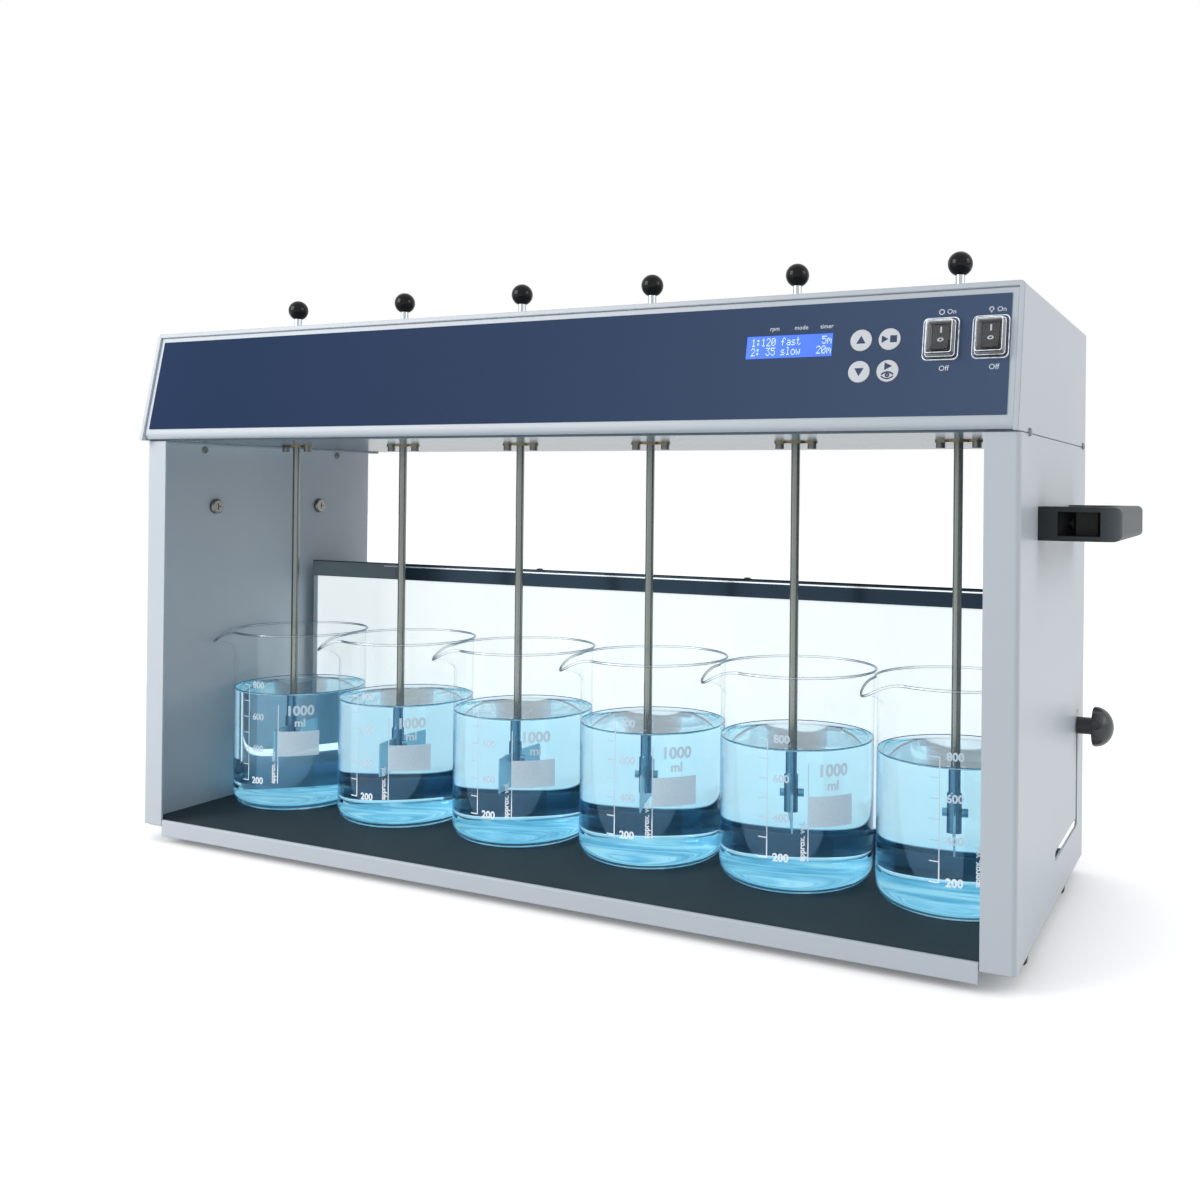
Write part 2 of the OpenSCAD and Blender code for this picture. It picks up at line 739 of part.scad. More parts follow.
module light_housing() color([0.83, 0.85, 0.87]) {
  inner_w = light_w - 2 * light_sheet_t;
  translate([0, 0, light_z]) difference() {
    union() {
      difference() {
        translate([-light_w / 2, light_front, 0]) cube([light_w, light_d, light_h]);
        translate([-inner_w / 2, light_front + light_sheet_t, light_sheet_t])
          cube([inner_w, light_d - 2 * light_sheet_t, light_h - 2 * light_sheet_t]);
        translate([-light_w / 2 + light_lip_w, light_front - cut, light_lip_w])
          cube([light_w - 2 * light_lip_w, 2 * cut + light_sheet_t, light_h - 2 * light_lip_w]);
      }
      for (s = [-1, 1]) {
        x0 = s > 0 ? light_w / 2 - light_sheet_t - boss_l : -half_w + sheet_t + slide_gap;
        l = boss_l + light_sheet_t + light_side_gap - slide_gap;
        translate([x0, stud_y, stud_rise]) rotate([0, 90, 0]) cylinder(h = l, d = sleeve_d);
      }
    }
    translate([0, stud_y, stud_rise]) for (s = [0, 1]) mirror([s, 0, 0])
      translate([light_w / 2 - light_sheet_t - boss_l - cut, 0, 0]) rotate([0, 90, 0])
        cylinder(h = boss_l + light_sheet_t + light_side_gap + 2 * cut, d = stud_d + 2 * fit_gap);
  }
}

module light_diffuser() color([0.94, 0.96, 0.96]) {
  seat = light_sheet_t + 0.4;
  translate([-light_w / 2 + seat, light_front + light_sheet_t, light_z + light_sheet_t])
    cube([light_w - 2 * seat, diffuser_t, light_h - 2 * light_sheet_t]);
}

lip_foot = 16;

// The polished lip: an angle screwed to the top of the box, its front edge hemmed
module light_trim() color([0.5, 0.52, 0.54]) {
  top = light_z + light_h + lip_rise;
  t = light_sheet_t;
  along_x(-light_w / 2, light_w) translate([light_front - t, 0]) {
    translate([0, top - lip_h]) square([t, lip_h - t]);
    translate([t, top - t]) circle(t);
    translate([t - eps, light_z + light_h]) square([t, lip_rise - t]);
    translate([t - eps, light_z + light_h]) square([lip_foot, t]);
  }
}

led_rows = 3;
led_columns = 16;
led_size = 5;
led_strip_w = 12;

module light_board() color([0.9, 0.9, 0.84]) {
  back = light_front + light_d - light_sheet_t;
  l = light_w - 6 * led_strip_w;
  for (r = [1:led_rows]) translate([0, back - board_t, light_z + r * light_h / (led_rows + 1)]) {
    translate([-l / 2, 0, -led_strip_w / 2]) cube([l, board_t, led_strip_w]);
    for (c = [1:led_columns])
      translate([-l / 2 + (c - 0.5) * l / led_columns - led_size / 2, -board_t, -led_size / 2])
        cube([led_size, board_t + eps, led_size]);
  }
}

// ---------------------------------------------------------------- clamp knobs

knob_lobes = 7;
scallop_r = 5.5;
scallop_out = 3.96;
knob_back_r = 1.6;
stud_end_gap = 1;

// Knob and stud along +Z, with z = 0 on the side panel's outer face
module knob_form() {
  foot = slide_gap;
  hub_end = foot + knob_hub_l;
  stud_l = sheet_t + light_side_gap + light_sheet_t + boss_l - stud_end_gap;
  r = knob_d / 2;
  difference() {
    rotate_extrude() polygon(concat(
      [[0, foot], [knob_hub_d / 2, foot], [knob_hub_d / 2, hub_end]],
      arc([r - knob_back_r, hub_end + knob_back_r], knob_back_r, 270, 360, 4),
      [for (a = [10:10:90]) [r * cos(a), hub_end + knob_back_r + (knob_head - knob_back_r) * sin(a)]]));
    for (k = [0:knob_lobes - 1]) rotate(k * 360 / knob_lobes)
      translate([r + scallop_out, 0, hub_end - cut]) cylinder(h = knob_head + 2 * cut, r = scallop_r);
  }
  translate([0, 0, -stud_l]) cylinder(h = stud_l + foot + eps, d = stud_d);
}

module clamp_knob_right() color([0.17, 0.19, 0.2])
  translate([half_w, stud_y, stud_z]) rotate([0, 90, 0]) knob_form();
module clamp_knob_left() color([0.17, 0.19, 0.2])
  mirror([1, 0, 0]) translate([half_w, stud_y, stud_z]) rotate([0, 90, 0]) knob_form();

// ---------------------------------------------------------------- stirring drive

tooth_r = tooth_pitch * 0.28;
pulley_flange_t = 1;
pulley_flange_w = 1.8;
track_h = belt_w + 1;
bore_d = rod_d + 2 * fit_gap;
pulley_z = floor_top + bearing_h + slide_gap;
grip_d = 15;
grip_h = 8;
bearing_flange_d = 17.5;
bearing_lug = 2.2;
function pitch_r(teeth) = teeth * tooth_pitch / (2 * PI);
function track_z(level) = pulley_z + pulley_flange_t + level * (track_h + pulley_flange_t);

// A toothed rim: a disc with round-bottomed grooves across it
module toothed_rim(teeth, h) {
  linear_extrude(h) difference() {
    circle(pitch_r(teeth));
    for (k = [0:teeth - 1]) rotate(k * 360 / teeth) translate([pitch_r(teeth), 0]) circle(tooth_r, $fn = 16);
  }
}

// A two-track belt pulley on a hollow shaft, with a grip for the rod on top
module drive_pulley(i) color([0.15, 0.15, 0.16]) {
  flange_r = pitch_r(pulley_teeth) + pulley_flange_w;
  shaft_foot = side_h - bearing_flange_t;
  translate([station_x(i), stirrer_y, 0]) difference() {
    union() {
      translate([0, 0, shaft_foot]) cylinder(h = pulley_z - shaft_foot + eps, d = hollow_shaft_d);
      for (level = [0, 1]) translate([0, 0, track_z(level)]) toothed_rim(pulley_teeth, track_h);
      for (level = [0:2])
        translate([0, 0, track_z(level) - pulley_flange_t]) cylinder(h = pulley_flange_t, r = flange_r);
      translate([0, 0, track_z(2) - eps]) cylinder(h = grip_h, d = grip_d);
    }
    translate([0, 0, shaft_foot - cut]) cylinder(h = track_z(2) + grip_h - shaft_foot + 2 * cut, d = bore_d);
  }
}

module bearing_flange() {
  lug_r = bearing_screw_d / 2 + bearing_lug;
  circle(d = bearing_flange_d);
  for (s = [-1, 1]) {
    translate([s * bearing_screw_x, 0]) circle(lug_r);
    translate([s * bearing_screw_x / 2, 0]) square([bearing_screw_x, 2 * lug_r], center = true);
  }
}

// A flanged bush, screwed up against the underside of the hood's floor
module bearings() color([0.72, 0.58, 0.3]) {
  for (i = [1:stations]) translate([station_x(i), stirrer_y, side_h]) difference() {
    union() {
      translate([0, 0, -bearing_flange_t]) linear_extrude(bearing_flange_t) bearing_flange();
      translate([0, 0, -eps]) cylinder(h = sheet_t + bearing_h + eps, d = bearing_d);
    }
    translate([0, 0, -bearing_flange_t - cut])
      cylinder(h = bearing_flange_t + sheet_t + bearing_h + 2 * cut, d = hollow_shaft_d + 2 * fit_gap);
    for (s = [-1, 1]) translate([s * bearing_screw_x, 0, -bearing_flange_t - cut])
      cylinder(h = bearing_flange_t + 2 * cut, d = bearing_screw_d + 2 * loose_gap);
  }
}

module bearing_screws() color([0.3, 0.3, 0.3]) {
  head_h = 3.6;
  head_d = 6;
  socket_d = 2.8;
  nut_t = 2.4;
  screw_end = 1;
  for (i = [1:stations], s = [-1, 1])
    translate([station_x(i) + s * bearing_screw_x, stirrer_y, side_h - bearing_flange_t]) {
      difference() {
        translate([0, 0, -head_h]) cylinder(h = head_h, d = head_d);
        translate([0, 0, -head_h - cut]) cylinder(h = head_h / 2 + cut, d = socket_d, $fn = 6);
      }
      cylinder(h = bearing_flange_t + sheet_t + nut_t + screw_end, d = bearing_screw_d);
      translate([0, 0, bearing_flange_t + sheet_t]) cylinder(h = nut_t, d = head_d, $fn = 6);
    }
}

motor_at = [station_x(1) + motor_x, stirrer_y + motor_y];
motor_shaft_d = 6;
bridge_t = 2;
bridge_gap = 4;
bridge_side = 6;
bridge_z = track_z(2) + bridge_gap;
can_z = bridge_z + bridge_t;
motor_h = hood_top - sheet_t - motor_headroom - can_z;
can_wall = 3;
rotor_gap = 1;

// Outline of a belt round two rims of radius a and b whose axes are d apart along X
function belt_points(a, b, d, steps) =
  let (t = asin((a - b) / d))
  concat(arc([0, 0], a, 90 - t, 270 + t, steps), arc([d, 0], b, -90 + t, 90 - t, steps));

module belt(from, to, teeth_from, teeth_to, level) {
  d = norm(to - from);
  clear = slide_gap;
  a = pitch_r(teeth_from) + clear;
  b = pitch_r(teeth_to) + clear;
  translate([from[0], from[1], track_z(level) + (track_h - belt_w) / 2])
    rotate(atan2(to[1] - from[1], to[0] - from[0]))
      linear_extrude(belt_w) difference() {
        polygon(belt_points(a + belt_t, b + belt_t, d, 20));
        polygon(belt_points(a, b, d, 20));
      }
}

module drive_belts() color([0.08, 0.08, 0.08]) {
  belt([station_x(1), stirrer_y], motor_at, pulley_teeth, motor_teeth, 0);
  for (i = [1:stations - 1])
    belt([station_x(i), stirrer_y], [station_x(i + 1), stirrer_y], pulley_teeth, pulley_teeth, i % 2);
}

// The motor hangs shaft down from a bridge that stands on the hood's floor
module motor() color([0.35, 0.36, 0.38]) {
  bridge_w = motor_d + 2 * bridge_side;
  leg_h = bridge_z - floor_top;
  foot_l = 10;
  seat_r = motor_shaft_d / 2 + fit_gap;
  translate([motor_at[0], motor_at[1], 0]) {
    difference() {
      union() {
        translate([-bridge_w / 2, -motor_d / 2, bridge_z]) cube([bridge_w, motor_d, bridge_t]);
        for (s = [0, 1]) mirror([s, 0, 0]) {
          translate([bridge_w / 2 - bridge_t, -motor_d / 2, floor_top])
            cube([bridge_t, motor_d, leg_h + eps]);
          translate([bridge_w / 2 - bridge_t, -motor_d / 2, floor_top])
            cube([foot_l, motor_d, bridge_t]);
        }
      }
      translate([0, 0, bridge_z - cut]) cylinder(h = bridge_t + 2 * cut, d = 3 * motor_shaft_d);
    }
    translate([0, 0, can_z]) difference() {
      cylinder(h = motor_h, d = motor_d);
      translate([0, 0, can_wall]) cylinder(h = motor_h - 2 * can_wall, d = motor_d - 2 * can_wall);
      translate([0, 0, -cut]) cylinder(h = can_wall + 2 * cut, r = seat_r);
    }
  }
}

module motor_rotor() color([0.6, 0.6, 0.62]) {
  rim_r = pitch_r(motor_teeth);
  rotor_r = motor_d / 2 - can_wall - rotor_gap;
  shaft_foot = track_z(0) - pulley_flange_t;
  rotor_z = can_z + can_wall + rotor_gap;
  rotor_l = motor_h - 2 * can_wall - 2 * rotor_gap;
  translate([motor_at[0], motor_at[1], 0]) {
    translate([0, 0, shaft_foot]) cylinder(h = rotor_z - shaft_foot + eps, d = motor_shaft_d);
    translate([0, 0, rotor_z]) cylinder(h = rotor_l, r = rotor_r);
    translate([0, 0, track_z(0)]) toothed_rim(motor_teeth, track_h);
    for (z = [track_z(0) - pulley_flange_t, track_z(0) + track_h])
      translate([0, 0, z]) cylinder(h = pulley_flange_t, r = rim_r + pulley_flange_w);
  }
}

// ---------------------------------------------------------------- stirrers

rod_colour = [0.62, 0.62, 0.6];
paddle_z = mat_t + paddle_clear;
holder_z = paddle_z + paddle_hang;
ball_z = hood_top + ball_rise;
clamp_screw_z = holder_z + holder_l * 0.5;
clamp_screw_d = 2.5;
holder_taper = 1;
ball_bore = rod_d / 2;
ball_flat = 0.8;

// Places children on stirrer i's axis, turned to its paddle's heading
module at_stirrer(i) {
  translate([station_x(i), stirrer_y, 0]) rotate(90 + paddle_headings[i - 1]) children();
}

// A steel rod whose foot is thickened and slit to take the paddle
module stirrer_rod(i) color(rod_colour) {
  slit_h = paddle_h - paddle_hang;
  at_stirrer(i) difference() {
    union() {
      translate([0, 0, holder_z]) cylinder(h = ball_z - holder_z, d = rod_d);
      translate([0, 0, holder_z]) cylinder(h = holder_l - holder_taper, d = holder_d);
      translate([0, 0, holder_z + holder_l - holder_taper])
        cylinder(h = holder_taper, d1 = holder_d, d2 = rod_d);
    }
    translate([-holder_d, -paddle_t / 2, holder_z - cut]) cube([2 * holder_d, paddle_t, slit_h + cut]);
    translate([0, 0, clamp_screw_z]) rotate([90, 0, 0])
      cylinder(h = 2 * holder_d, d = clamp_screw_d + 2 * loose_gap, center = true);
  }
}

// The paddle's blade, and the screw and nut that pinch the holder on it
module paddle(i) color(rod_colour) {
  head_d = 5.5;
  head_h = 3;
  nut_h = 2.2;
  at_stirrer(i) {
    difference() {
      translate([-paddle_w / 2, -paddle_t / 2, paddle_z]) cube([paddle_w, paddle_t, paddle_h]);
      translate([0, 0, clamp_screw_z]) rotate([90, 0, 0])
        cylinder(h = 2 * paddle_t, d = clamp_screw_d + 2 * loose_gap, center = true);
    }
    translate([0, 0, clamp_screw_z]) rotate([90, 0, 0]) {
      translate([0, 0, -holder_d / 2 - nut_h]) cylinder(h = holder_d + head_h + nut_h, d = clamp_screw_d);
      translate([0, 0, holder_d / 2]) cylinder(h = head_h, d = head_d);
      translate([0, 0, -holder_d / 2 - nut_h]) cylinder(h = nut_h, d = head_d, $fn = 6);
    }
  }
}

// A ball knob with a flat foot, bored for the rod
module ball_knob(i) color([0.08, 0.08, 0.09]) {
  r = ball_d / 2;
  flat = r - ball_flat;
  translate([station_x(i), stirrer_y, ball_z]) difference() {
    intersection() {
      sphere(r);
      translate([-r, -r, -flat]) cube([2 * r, 2 * r, flat + r]);
    }
    translate([0, 0, -r - cut]) cylinder(h = r + cut, r = ball_bore);
  }
}

// ---------------------------------------------------------------- hood's electrics

supply = [100, 56, 36];
supply_side = 150;
supply_behind = 52;
supply_at = [half_w - supply_side, stirrer_y + supply_behind];
board_left = 90;       // the board's reach to the left and right of the keys' middle
board_right = 28;
board_below = 39;      // and below and above the middle of the display
board_above = 23;
pillar_d = 5;
pillar_inset = 5;
tact_w = 6;

module electronics() color([0.12, 0.35, 0.2]) {
  // control board behind the keys, on four pillars, with a switch under each key
  on_slope(key_u + key_pitch_u / 2, controls_v, 0) {
    translate([-board_left, -board_below, board_n - board_t])
      cube([board_left + board_right, board_below + board_above, board_t]);
    for (x = [pillar_inset - board_left, board_right - pillar_inset],
         y = [pillar_inset - board_below, board_above - pillar_inset])
      translate([x, y, board_n - eps]) cylinder(h = panel_rear - board_n + eps, d = pillar_d);
  }
  for (c = [0, 1], r = [0, 1])
    on_slope(key_u + c * key_pitch_u, key_v - r * key_pitch_v, board_n)
      translate([-tact_w / 2, -tact_w / 2, -eps]) cube([tact_w, tact_w, tact_h]);
  // power supply on the hood's floor
  translate([supply_at[0], supply_at[1], floor_top]) cube(supply);
}

// Appliance inlet for a mains lead, with its three blades, at the rear
module mains_inlet() color([0.1, 0.1, 0.11]) {
  flange_x = 48;
  flange_z = 28;
  flange_r = 4;
  depth = 24;
  socket_w = 24;
  socket_h = 16.5;
  socket_depth = 17;
  blade = [2, 14, 4];
  blade_x = 7;
  blade_down = 2;
  earth_up = 3;
  screw_x = 20;
  screw_d = 3.2;
  translate([inlet_x, hood_back, inlet_z]) {
    difference() {
      union() {
        rotate([-90, 0, 0]) round_plate(flange_x, flange_z, inlet_flange_t, flange_r);
        translate([-inlet_w / 2, -depth, -inlet_h / 2]) cube([inlet_w, depth + eps, inlet_h]);
      }
      translate([-socket_w / 2, inlet_flange_t - socket_depth, -socket_h / 2])
        cube([socket_w, socket_depth + cut, socket_h]);
      for (s = [-1, 1]) translate([s * screw_x, -cut, 0]) rotate([-90, 0, 0])
        cylinder(h = inlet_flange_t + 2 * cut, d = screw_d);
    }
    for (p = [[-blade_x, -blade_down], [0, earth_up], [blade_x, -blade_down]])
      translate([p[0] - blade[0] / 2, inlet_flange_t - socket_depth - eps, p[1] - blade[2] / 2]) cube(blade);
  }
}

// ---------------------------------------------------------------- beakers

beaker_floor = 2.4;
spout_drop = 17;
spout_tilt = 14;
spout_inset = 2.5;

// Side of the wall, offset inwards by g: base corner, wall and flared rim
function beaker_side(g) =
  let (r = beaker_d / 2 - g, b = beaker_base_r - g, foot = g > 0 ? beaker_floor : 0, curl = 3 * rim_flare)
  concat(
    arc([r - b, foot + b], b, 270, 360, 6),
    [for (a = [0:15:60]) [r + rim_flare * (1 - cos(a * 1.5)), beaker_h - curl + curl * sin(a) / sin(60)]]);

// The cone that forms the spout, thinned by g
module spout_cone(g) {
  foot_r = 1.2;
  top_r = spout_reach - rim_flare;
  translate([beaker_d / 2 - spout_inset, 0, beaker_h - spout_drop]) rotate([0, spout_tilt, 0])
    cylinder(h = 2 * spout_drop, r1 = foot_r, r2 = 2 * top_r - foot_r - g);
}

module beaker() {
  r = beaker_d / 2;
  difference() {
    union() {
      rotate_extrude() polygon(concat([[0, 0]], beaker_side(0), [[0, beaker_h]]));
      intersection() {
        spout_cone(0);
        translate([0, -r, 0]) cube([2 * r, 2 * r, beaker_h]);
      }
    }
    rotate_extrude() polygon(concat([[0, beaker_floor]], beaker_side(beaker_wall), [[0, beaker_h]]));
    translate([0, 0, beaker_h - eps]) cylinder(h = cut, r = r + rim_flare - beaker_wall);
    translate([-beaker_wall, 0, 0]) spout_cone(0);
  }
}

module beakers() color([0.75, 0.92, 0.97, 0.4]) {
  for (i = [1:stations]) translate([station_x(i), beaker_y, mat_t]) rotate(spout_heading) beaker();
}

// ---------------------------------------------------------------- nodes

stand() hood_cover();
stand() hood_floor();
stand() front_panel();
stand() control_overlay();
stand() display();
stand() key_up();
stand() key_down();
stand() key_start();
stand() key_light();
stand() switch_bodies();
stand() rocker_drive();
stand() rocker_lamp();
stand() switch_caps();
stand() left_side_panel();
stand() right_side_panel();
stand() base_tray();
stand() base_mat();
stand() feet();
stand() handle_left();
stand() handle_right();
stand() handle_screws();
stand() light_housing();
stand() light_trim();
stand() light_diffuser();
stand() light_board();
stand() clamp_knob_left();
stand() clamp_knob_right();
stand() bearings();
stand() bearing_screws();
stand() drive_belts();
stand() motor();
stand() motor_rotor();
stand() electronics();
stand() mains_inlet();
stand() beakers();
for (i = [1:stations]) {
  stand() drive_pulley(i);
  stand() stirrer_rod(i);
  stand() ball_knob(i);
  stand() paddle(i);
}
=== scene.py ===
"""Looks of a six-place jar tester: a grey powder-coated cabinet with a stirring drive in its hood,
a lit panel at its back and six beakers of blue water on a rubber mat. Lengths are in metres."""

import bmesh
import bpy
import math
import numpy as np
from mathutils import Matrix, Vector


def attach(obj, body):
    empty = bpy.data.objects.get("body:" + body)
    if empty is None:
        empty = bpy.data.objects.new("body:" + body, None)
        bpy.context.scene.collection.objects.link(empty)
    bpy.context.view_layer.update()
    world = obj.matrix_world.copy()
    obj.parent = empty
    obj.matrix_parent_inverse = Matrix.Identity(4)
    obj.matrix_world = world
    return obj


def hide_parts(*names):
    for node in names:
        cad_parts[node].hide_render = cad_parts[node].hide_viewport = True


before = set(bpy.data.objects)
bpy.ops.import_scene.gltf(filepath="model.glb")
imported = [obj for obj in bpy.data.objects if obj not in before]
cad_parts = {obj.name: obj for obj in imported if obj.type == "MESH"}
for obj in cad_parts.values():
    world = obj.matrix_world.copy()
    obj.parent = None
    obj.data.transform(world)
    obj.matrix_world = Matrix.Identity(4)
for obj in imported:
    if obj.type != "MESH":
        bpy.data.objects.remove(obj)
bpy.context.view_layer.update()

# ---------------------------------------------------------------- camera
# A 36 mm lens on a small tripod, a hand's breadth above the middle of the jars and to their right.
# The picture is a part of a wider one, so its middle lies beside the lens's axis.
camera_at = Vector((0.45775, -0.7957, 0.2754))
camera_heading, camera_rise, camera_roll = math.radians(25.22), math.radians(0.25), math.radians(0.6)
forward = Vector((-math.sin(camera_heading) * math.cos(camera_rise),
                  math.cos(camera_heading) * math.cos(camera_rise), math.sin(camera_rise)))
level = Vector((math.cos(camera_heading), math.sin(camera_heading), 0))
across = level * math.cos(camera_roll) + level.cross(forward) * math.sin(camera_roll)
upwards = across.cross(forward)
camera = bpy.data.objects.new("camera", bpy.data.cameras.new("camera"))
camera.matrix_world = Matrix.Translation(camera_at) @ Matrix((across, upwards, -forward)).transposed().to_4x4()
picture_side, focal_length, lens_axis_y, film_width = 1200, 1209.76, 485.8, 36
camera.data.sensor_width, camera.data.lens = film_width, film_width * focal_length / picture_side
camera.data.shift_x, camera.data.shift_y = -100 / picture_side, (lens_axis_y - picture_side / 2) / picture_side
camera.data.clip_start, camera.data.clip_end = 0.01, 50
bpy.context.scene.collection.objects.link(camera)
bpy.context.scene.camera = camera

# ---------------------------------------------------------------- studio
# A white room: a broad softbox in front and to the left, a weaker one to the right, an even sky,
# and a pale floor that reads as white where the cabinet does not shade it.
bpy.context.scene.view_settings.view_transform = "Standard"


class Field:
    """A value that varies over a surface: one socket of a material. Arithmetic on fields adds Math nodes."""

    def __init__(self, tree, socket=None):
        self.tree, self.socket = tree, socket

    def node(self, kind, settings=None, out=0, **sockets):
        """Adds a shader node, sets it up, fills its sockets with values or fields, and gives one output."""
        made = self.tree.nodes.new("ShaderNode" + kind)
        for name, value in (settings or {}).items():
            if name == "stops":
                stops = made.color_ramp.elements
                while len(stops) < len(value):
                    stops.new(0.5)
                for stop, (place, shade) in zip(stops, value):
                    stop.position, stop.color = place, (*shade, 1)
            else:
                setattr(made, name, value)
        for name, value in sockets.items():
            key = int(name[1:]) if name[1:].isdigit() else name.replace("_", " ")
            if isinstance(value, Field):
                self.tree.links.new(value.socket, made.inputs[key])
            else:
                made.inputs[key].default_value = value
        return Field(self.tree, made.outputs[out] if made.outputs else None)

    def math(self, operation, first, second=0.0, clamp=False):
        return self.node("Math", {"operation": operation, "use_clamp": clamp}, i0=first, i1=second)

    def __add__(self, other):
        return self.math("ADD", self, other)

    def __sub__(self, other):
        return self.math("SUBTRACT", self, other)

    def __rsub__(self, other):
        return self.math("SUBTRACT", other, self)

    def __mul__(self, other):
        return self.math("MULTIPLY", self, other)

    def __pow__(self, other):
        return self.math("POWER", self, other)

    def __gt__(self, other):
        return self.math("GREATER_THAN", self, other)

    def __lt__(self, other):
        return self.math("LESS_THAN", self, other)

    __radd__, __rmul__ = __add__, __mul__

    def clamped(self):
        return self.math("ADD", self, 0.0, clamp=True)

    def mixed(self, low, high):
        """Colour that goes from low, where this field is 0, to high, where it is 1."""
        low, high = [(*c, 1) if isinstance(c, tuple) else c for c in (low, high)]
        return self.node("Mix", {"data_type": "RGBA"}, out=2, i0=self, i6=low, i7=high)


def rgb(red, green, blue):
    """Linear colour of a screen colour given from 0 to 255."""
    return tuple(((c / 255 + 0.055) / 1.055) ** 2.4 if c > 10 else c / 255 / 12.92 for c in (red, green, blue))


def shown(start):
    """1 for rays from the camera, straight or by way of metal or glass, and 0 for light on the object."""
    camera_ray, glossy_ray, glass_ray = [start.node("LightPath", out=k) for k in (0, 3, 6)]
    return start.math("MAXIMUM", camera_ray, start.math("MAXIMUM", glossy_ray, glass_ray))


world = bpy.data.worlds.new("studio")
bpy.context.scene.world = world
world.use_nodes = True
world.node_tree.nodes.clear()
sky = Field(world.node_tree)
sky.node("OutputWorld", Surface=sky.node(
    "MixShader", i0=shown(sky), i1=sky.node("Background", i0=(0.93, 0.965, 1, 1), i1=0.36),
    i2=sky.node("Background", i0=(1, 1, 1, 1), i1=1.0)))


def softbox(name, place, aim, side, power):
    """A square area lamp at place that faces aim."""
    lamp = bpy.data.lights.new(name, "AREA")
    lamp.size, lamp.energy = side, power
    holder = bpy.data.objects.new(name, lamp)
    holder.location = place
    holder.rotation_euler = (Vector(aim) - Vector(place)).to_track_quat("-Z", "Y").to_euler()
    bpy.context.scene.collection.objects.link(holder)


softbox("key_softbox", (-1.15, -1.35, 1.05), (-0.1, 0, 0.22), 1.1, 19)
softbox("fill_softbox", (2.0, 0.05, 1.1), (0.38, 0, 0.25), 1.0, 8.5)

floor, reach = bpy.data.objects.new("floor", bpy.data.meshes.new("floor")), 9
floor.data.from_pydata([(-reach, -reach, 0), (reach, -reach, 0), (reach, reach, 0), (-reach, reach, 0)], [],
                       [(0, 1, 2, 3)])
bpy.context.scene.collection.objects.link(floor)
paper = bpy.data.materials.new("floor_paper")
paper.use_nodes = True
paper.node_tree.nodes.clear()
sheet = Field(paper.node_tree)
# The white lift is weaker where the floor is hemmed in by the cabinet, so the shadow round its foot is partly
# painted shadow.
open_sky = sheet.node("AmbientOcclusion", {"samples": 8}, out=1, Distance=0.16)
lift = sheet.node("Emission", i0=(1, 1, 1, 1), i1=shown(sheet) * (open_sky ** 1.6 * 0.7 + 0.12))
sheet.node("OutputMaterial", Surface=sheet.node(
    "AddShader", i0=lift, i1=sheet.node("BsdfDiffuse", i0=(0.86, 0.86, 0.86, 1))))
floor.data.materials.append(paper)

# ---------------------------------------------------------------- hood
# The cover, its floor and the panel behind its front edge are folded from steel sheet and coated
# with pale grey powder, which leaves a fine orange-peel skin and softens each folded edge.
hood_grey = rgb(212, 220, 228)


def finish(name, colour=None, **shader):
    """A material with one Principled shader; gives the material, the shader and a field to draw patterns from."""
    made = bpy.data.materials.new(name)
    made.use_nodes = True
    body = made.node_tree.nodes["Principled BSDF"]
    if colour:
        body.inputs["Base Color"].default_value = (*colour, 1)
    for key, value in shader.items():
        body.inputs[key.replace("_", " ")].default_value = value
    return made, body.inputs, Field(made.node_tree)


def link(field, socket):
    """Lets a field drive a socket of the shader."""
    field.tree.links.new(field.socket, socket)


def bump(field, depth, normal=None):
    """The surface's normal, tilted by a height field whose full range is depth metres."""
    extra = {"Normal": normal} if normal else {}
    return field.node("Bump", Height=field, Distance=depth, Strength=1.0, **extra)


def noise(start, scale, **more):
    """Noise from 0 to 1 over the piece's own coordinates, with scale grains to the metre."""
    return start.node("TexNoise", Vector=start.node("TexCoord", out=3), Scale=scale, **more)


def speckled(name, colour, low, high, scale, depth=0.0, detail=2.0, **shader):
    """A finish whose colour drifts between two tones in grains, which stand depth metres proud."""
    made, sockets, start = finish(name, colour, **shader)
    grain = noise(start, scale, Detail=detail)
    link(grain.mixed(low, high), sockets["Base Color"])
    if depth:
        link(bump(grain, depth), sockets["Normal"])
    return made


def dress(made, *names):
    """Gives CAD nodes a material in place of their plain one."""
    for name in names:
        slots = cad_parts[name].data.materials
        slots.clear()
        slots.append(made)


def powder_coat(name, colour, rough=0.36, index=1.5, coat=0.1):
    """Satin powder coat: a fine bump, a slow drift of tone and a soft sheen on folded edges."""
    made, shader, start = finish(name, colour, IOR=index, Coat_Weight=coat, Coat_Roughness=0.25)
    where = start.node("TexCoord", out=3)
    peel = start.node("TexNoise", Vector=where, Scale=1500.0, Detail=2.0)
    drift = start.node("TexNoise", Vector=where, Scale=9.0, Detail=2.0)
    paler = tuple(min(c * 1.03, 1) for c in colour)
    link(drift.mixed(tuple(c * 0.97 for c in colour), paler), shader["Base Color"])
    link(peel * 0.08 + rough, shader["Roughness"])
    link(bump(peel, 0.00004, start.node("Bevel", {"samples": 4}, Radius=0.0009)), shader["Normal"])
    return made


dress(powder_coat("hood_paint", hood_grey), "hood_cover", "front_panel")
# The hood's floor carries the same pale powder, but it is given a darker blue-grey: painted shade for the shade
# under the hood.
dress(powder_coat("hood_floor_painted_shade", rgb(122, 136, 147), rough=0.14, index=1.1, coat=0.0), "hood_floor")

# ---------------------------------------------------------------- printed overlay
# A polyester film, printed navy on its back and stuck to the panel. Its words and signs are white.
overlay_navy = rgb(42, 62, 92)
legend_white = rgb(226, 232, 240)
half_width = 0.335
slope_foot = np.array([-half_width, -0.13305, 0.3102])
slope_lean = math.atan(17.3 / 84)
slope_up = np.array([0, math.sin(slope_lean), math.cos(slope_lean)])
slope_out = np.array([0, -math.cos(slope_lean), math.sin(slope_lean)])
panel_face, ink_proud = -0.001, 0.00005


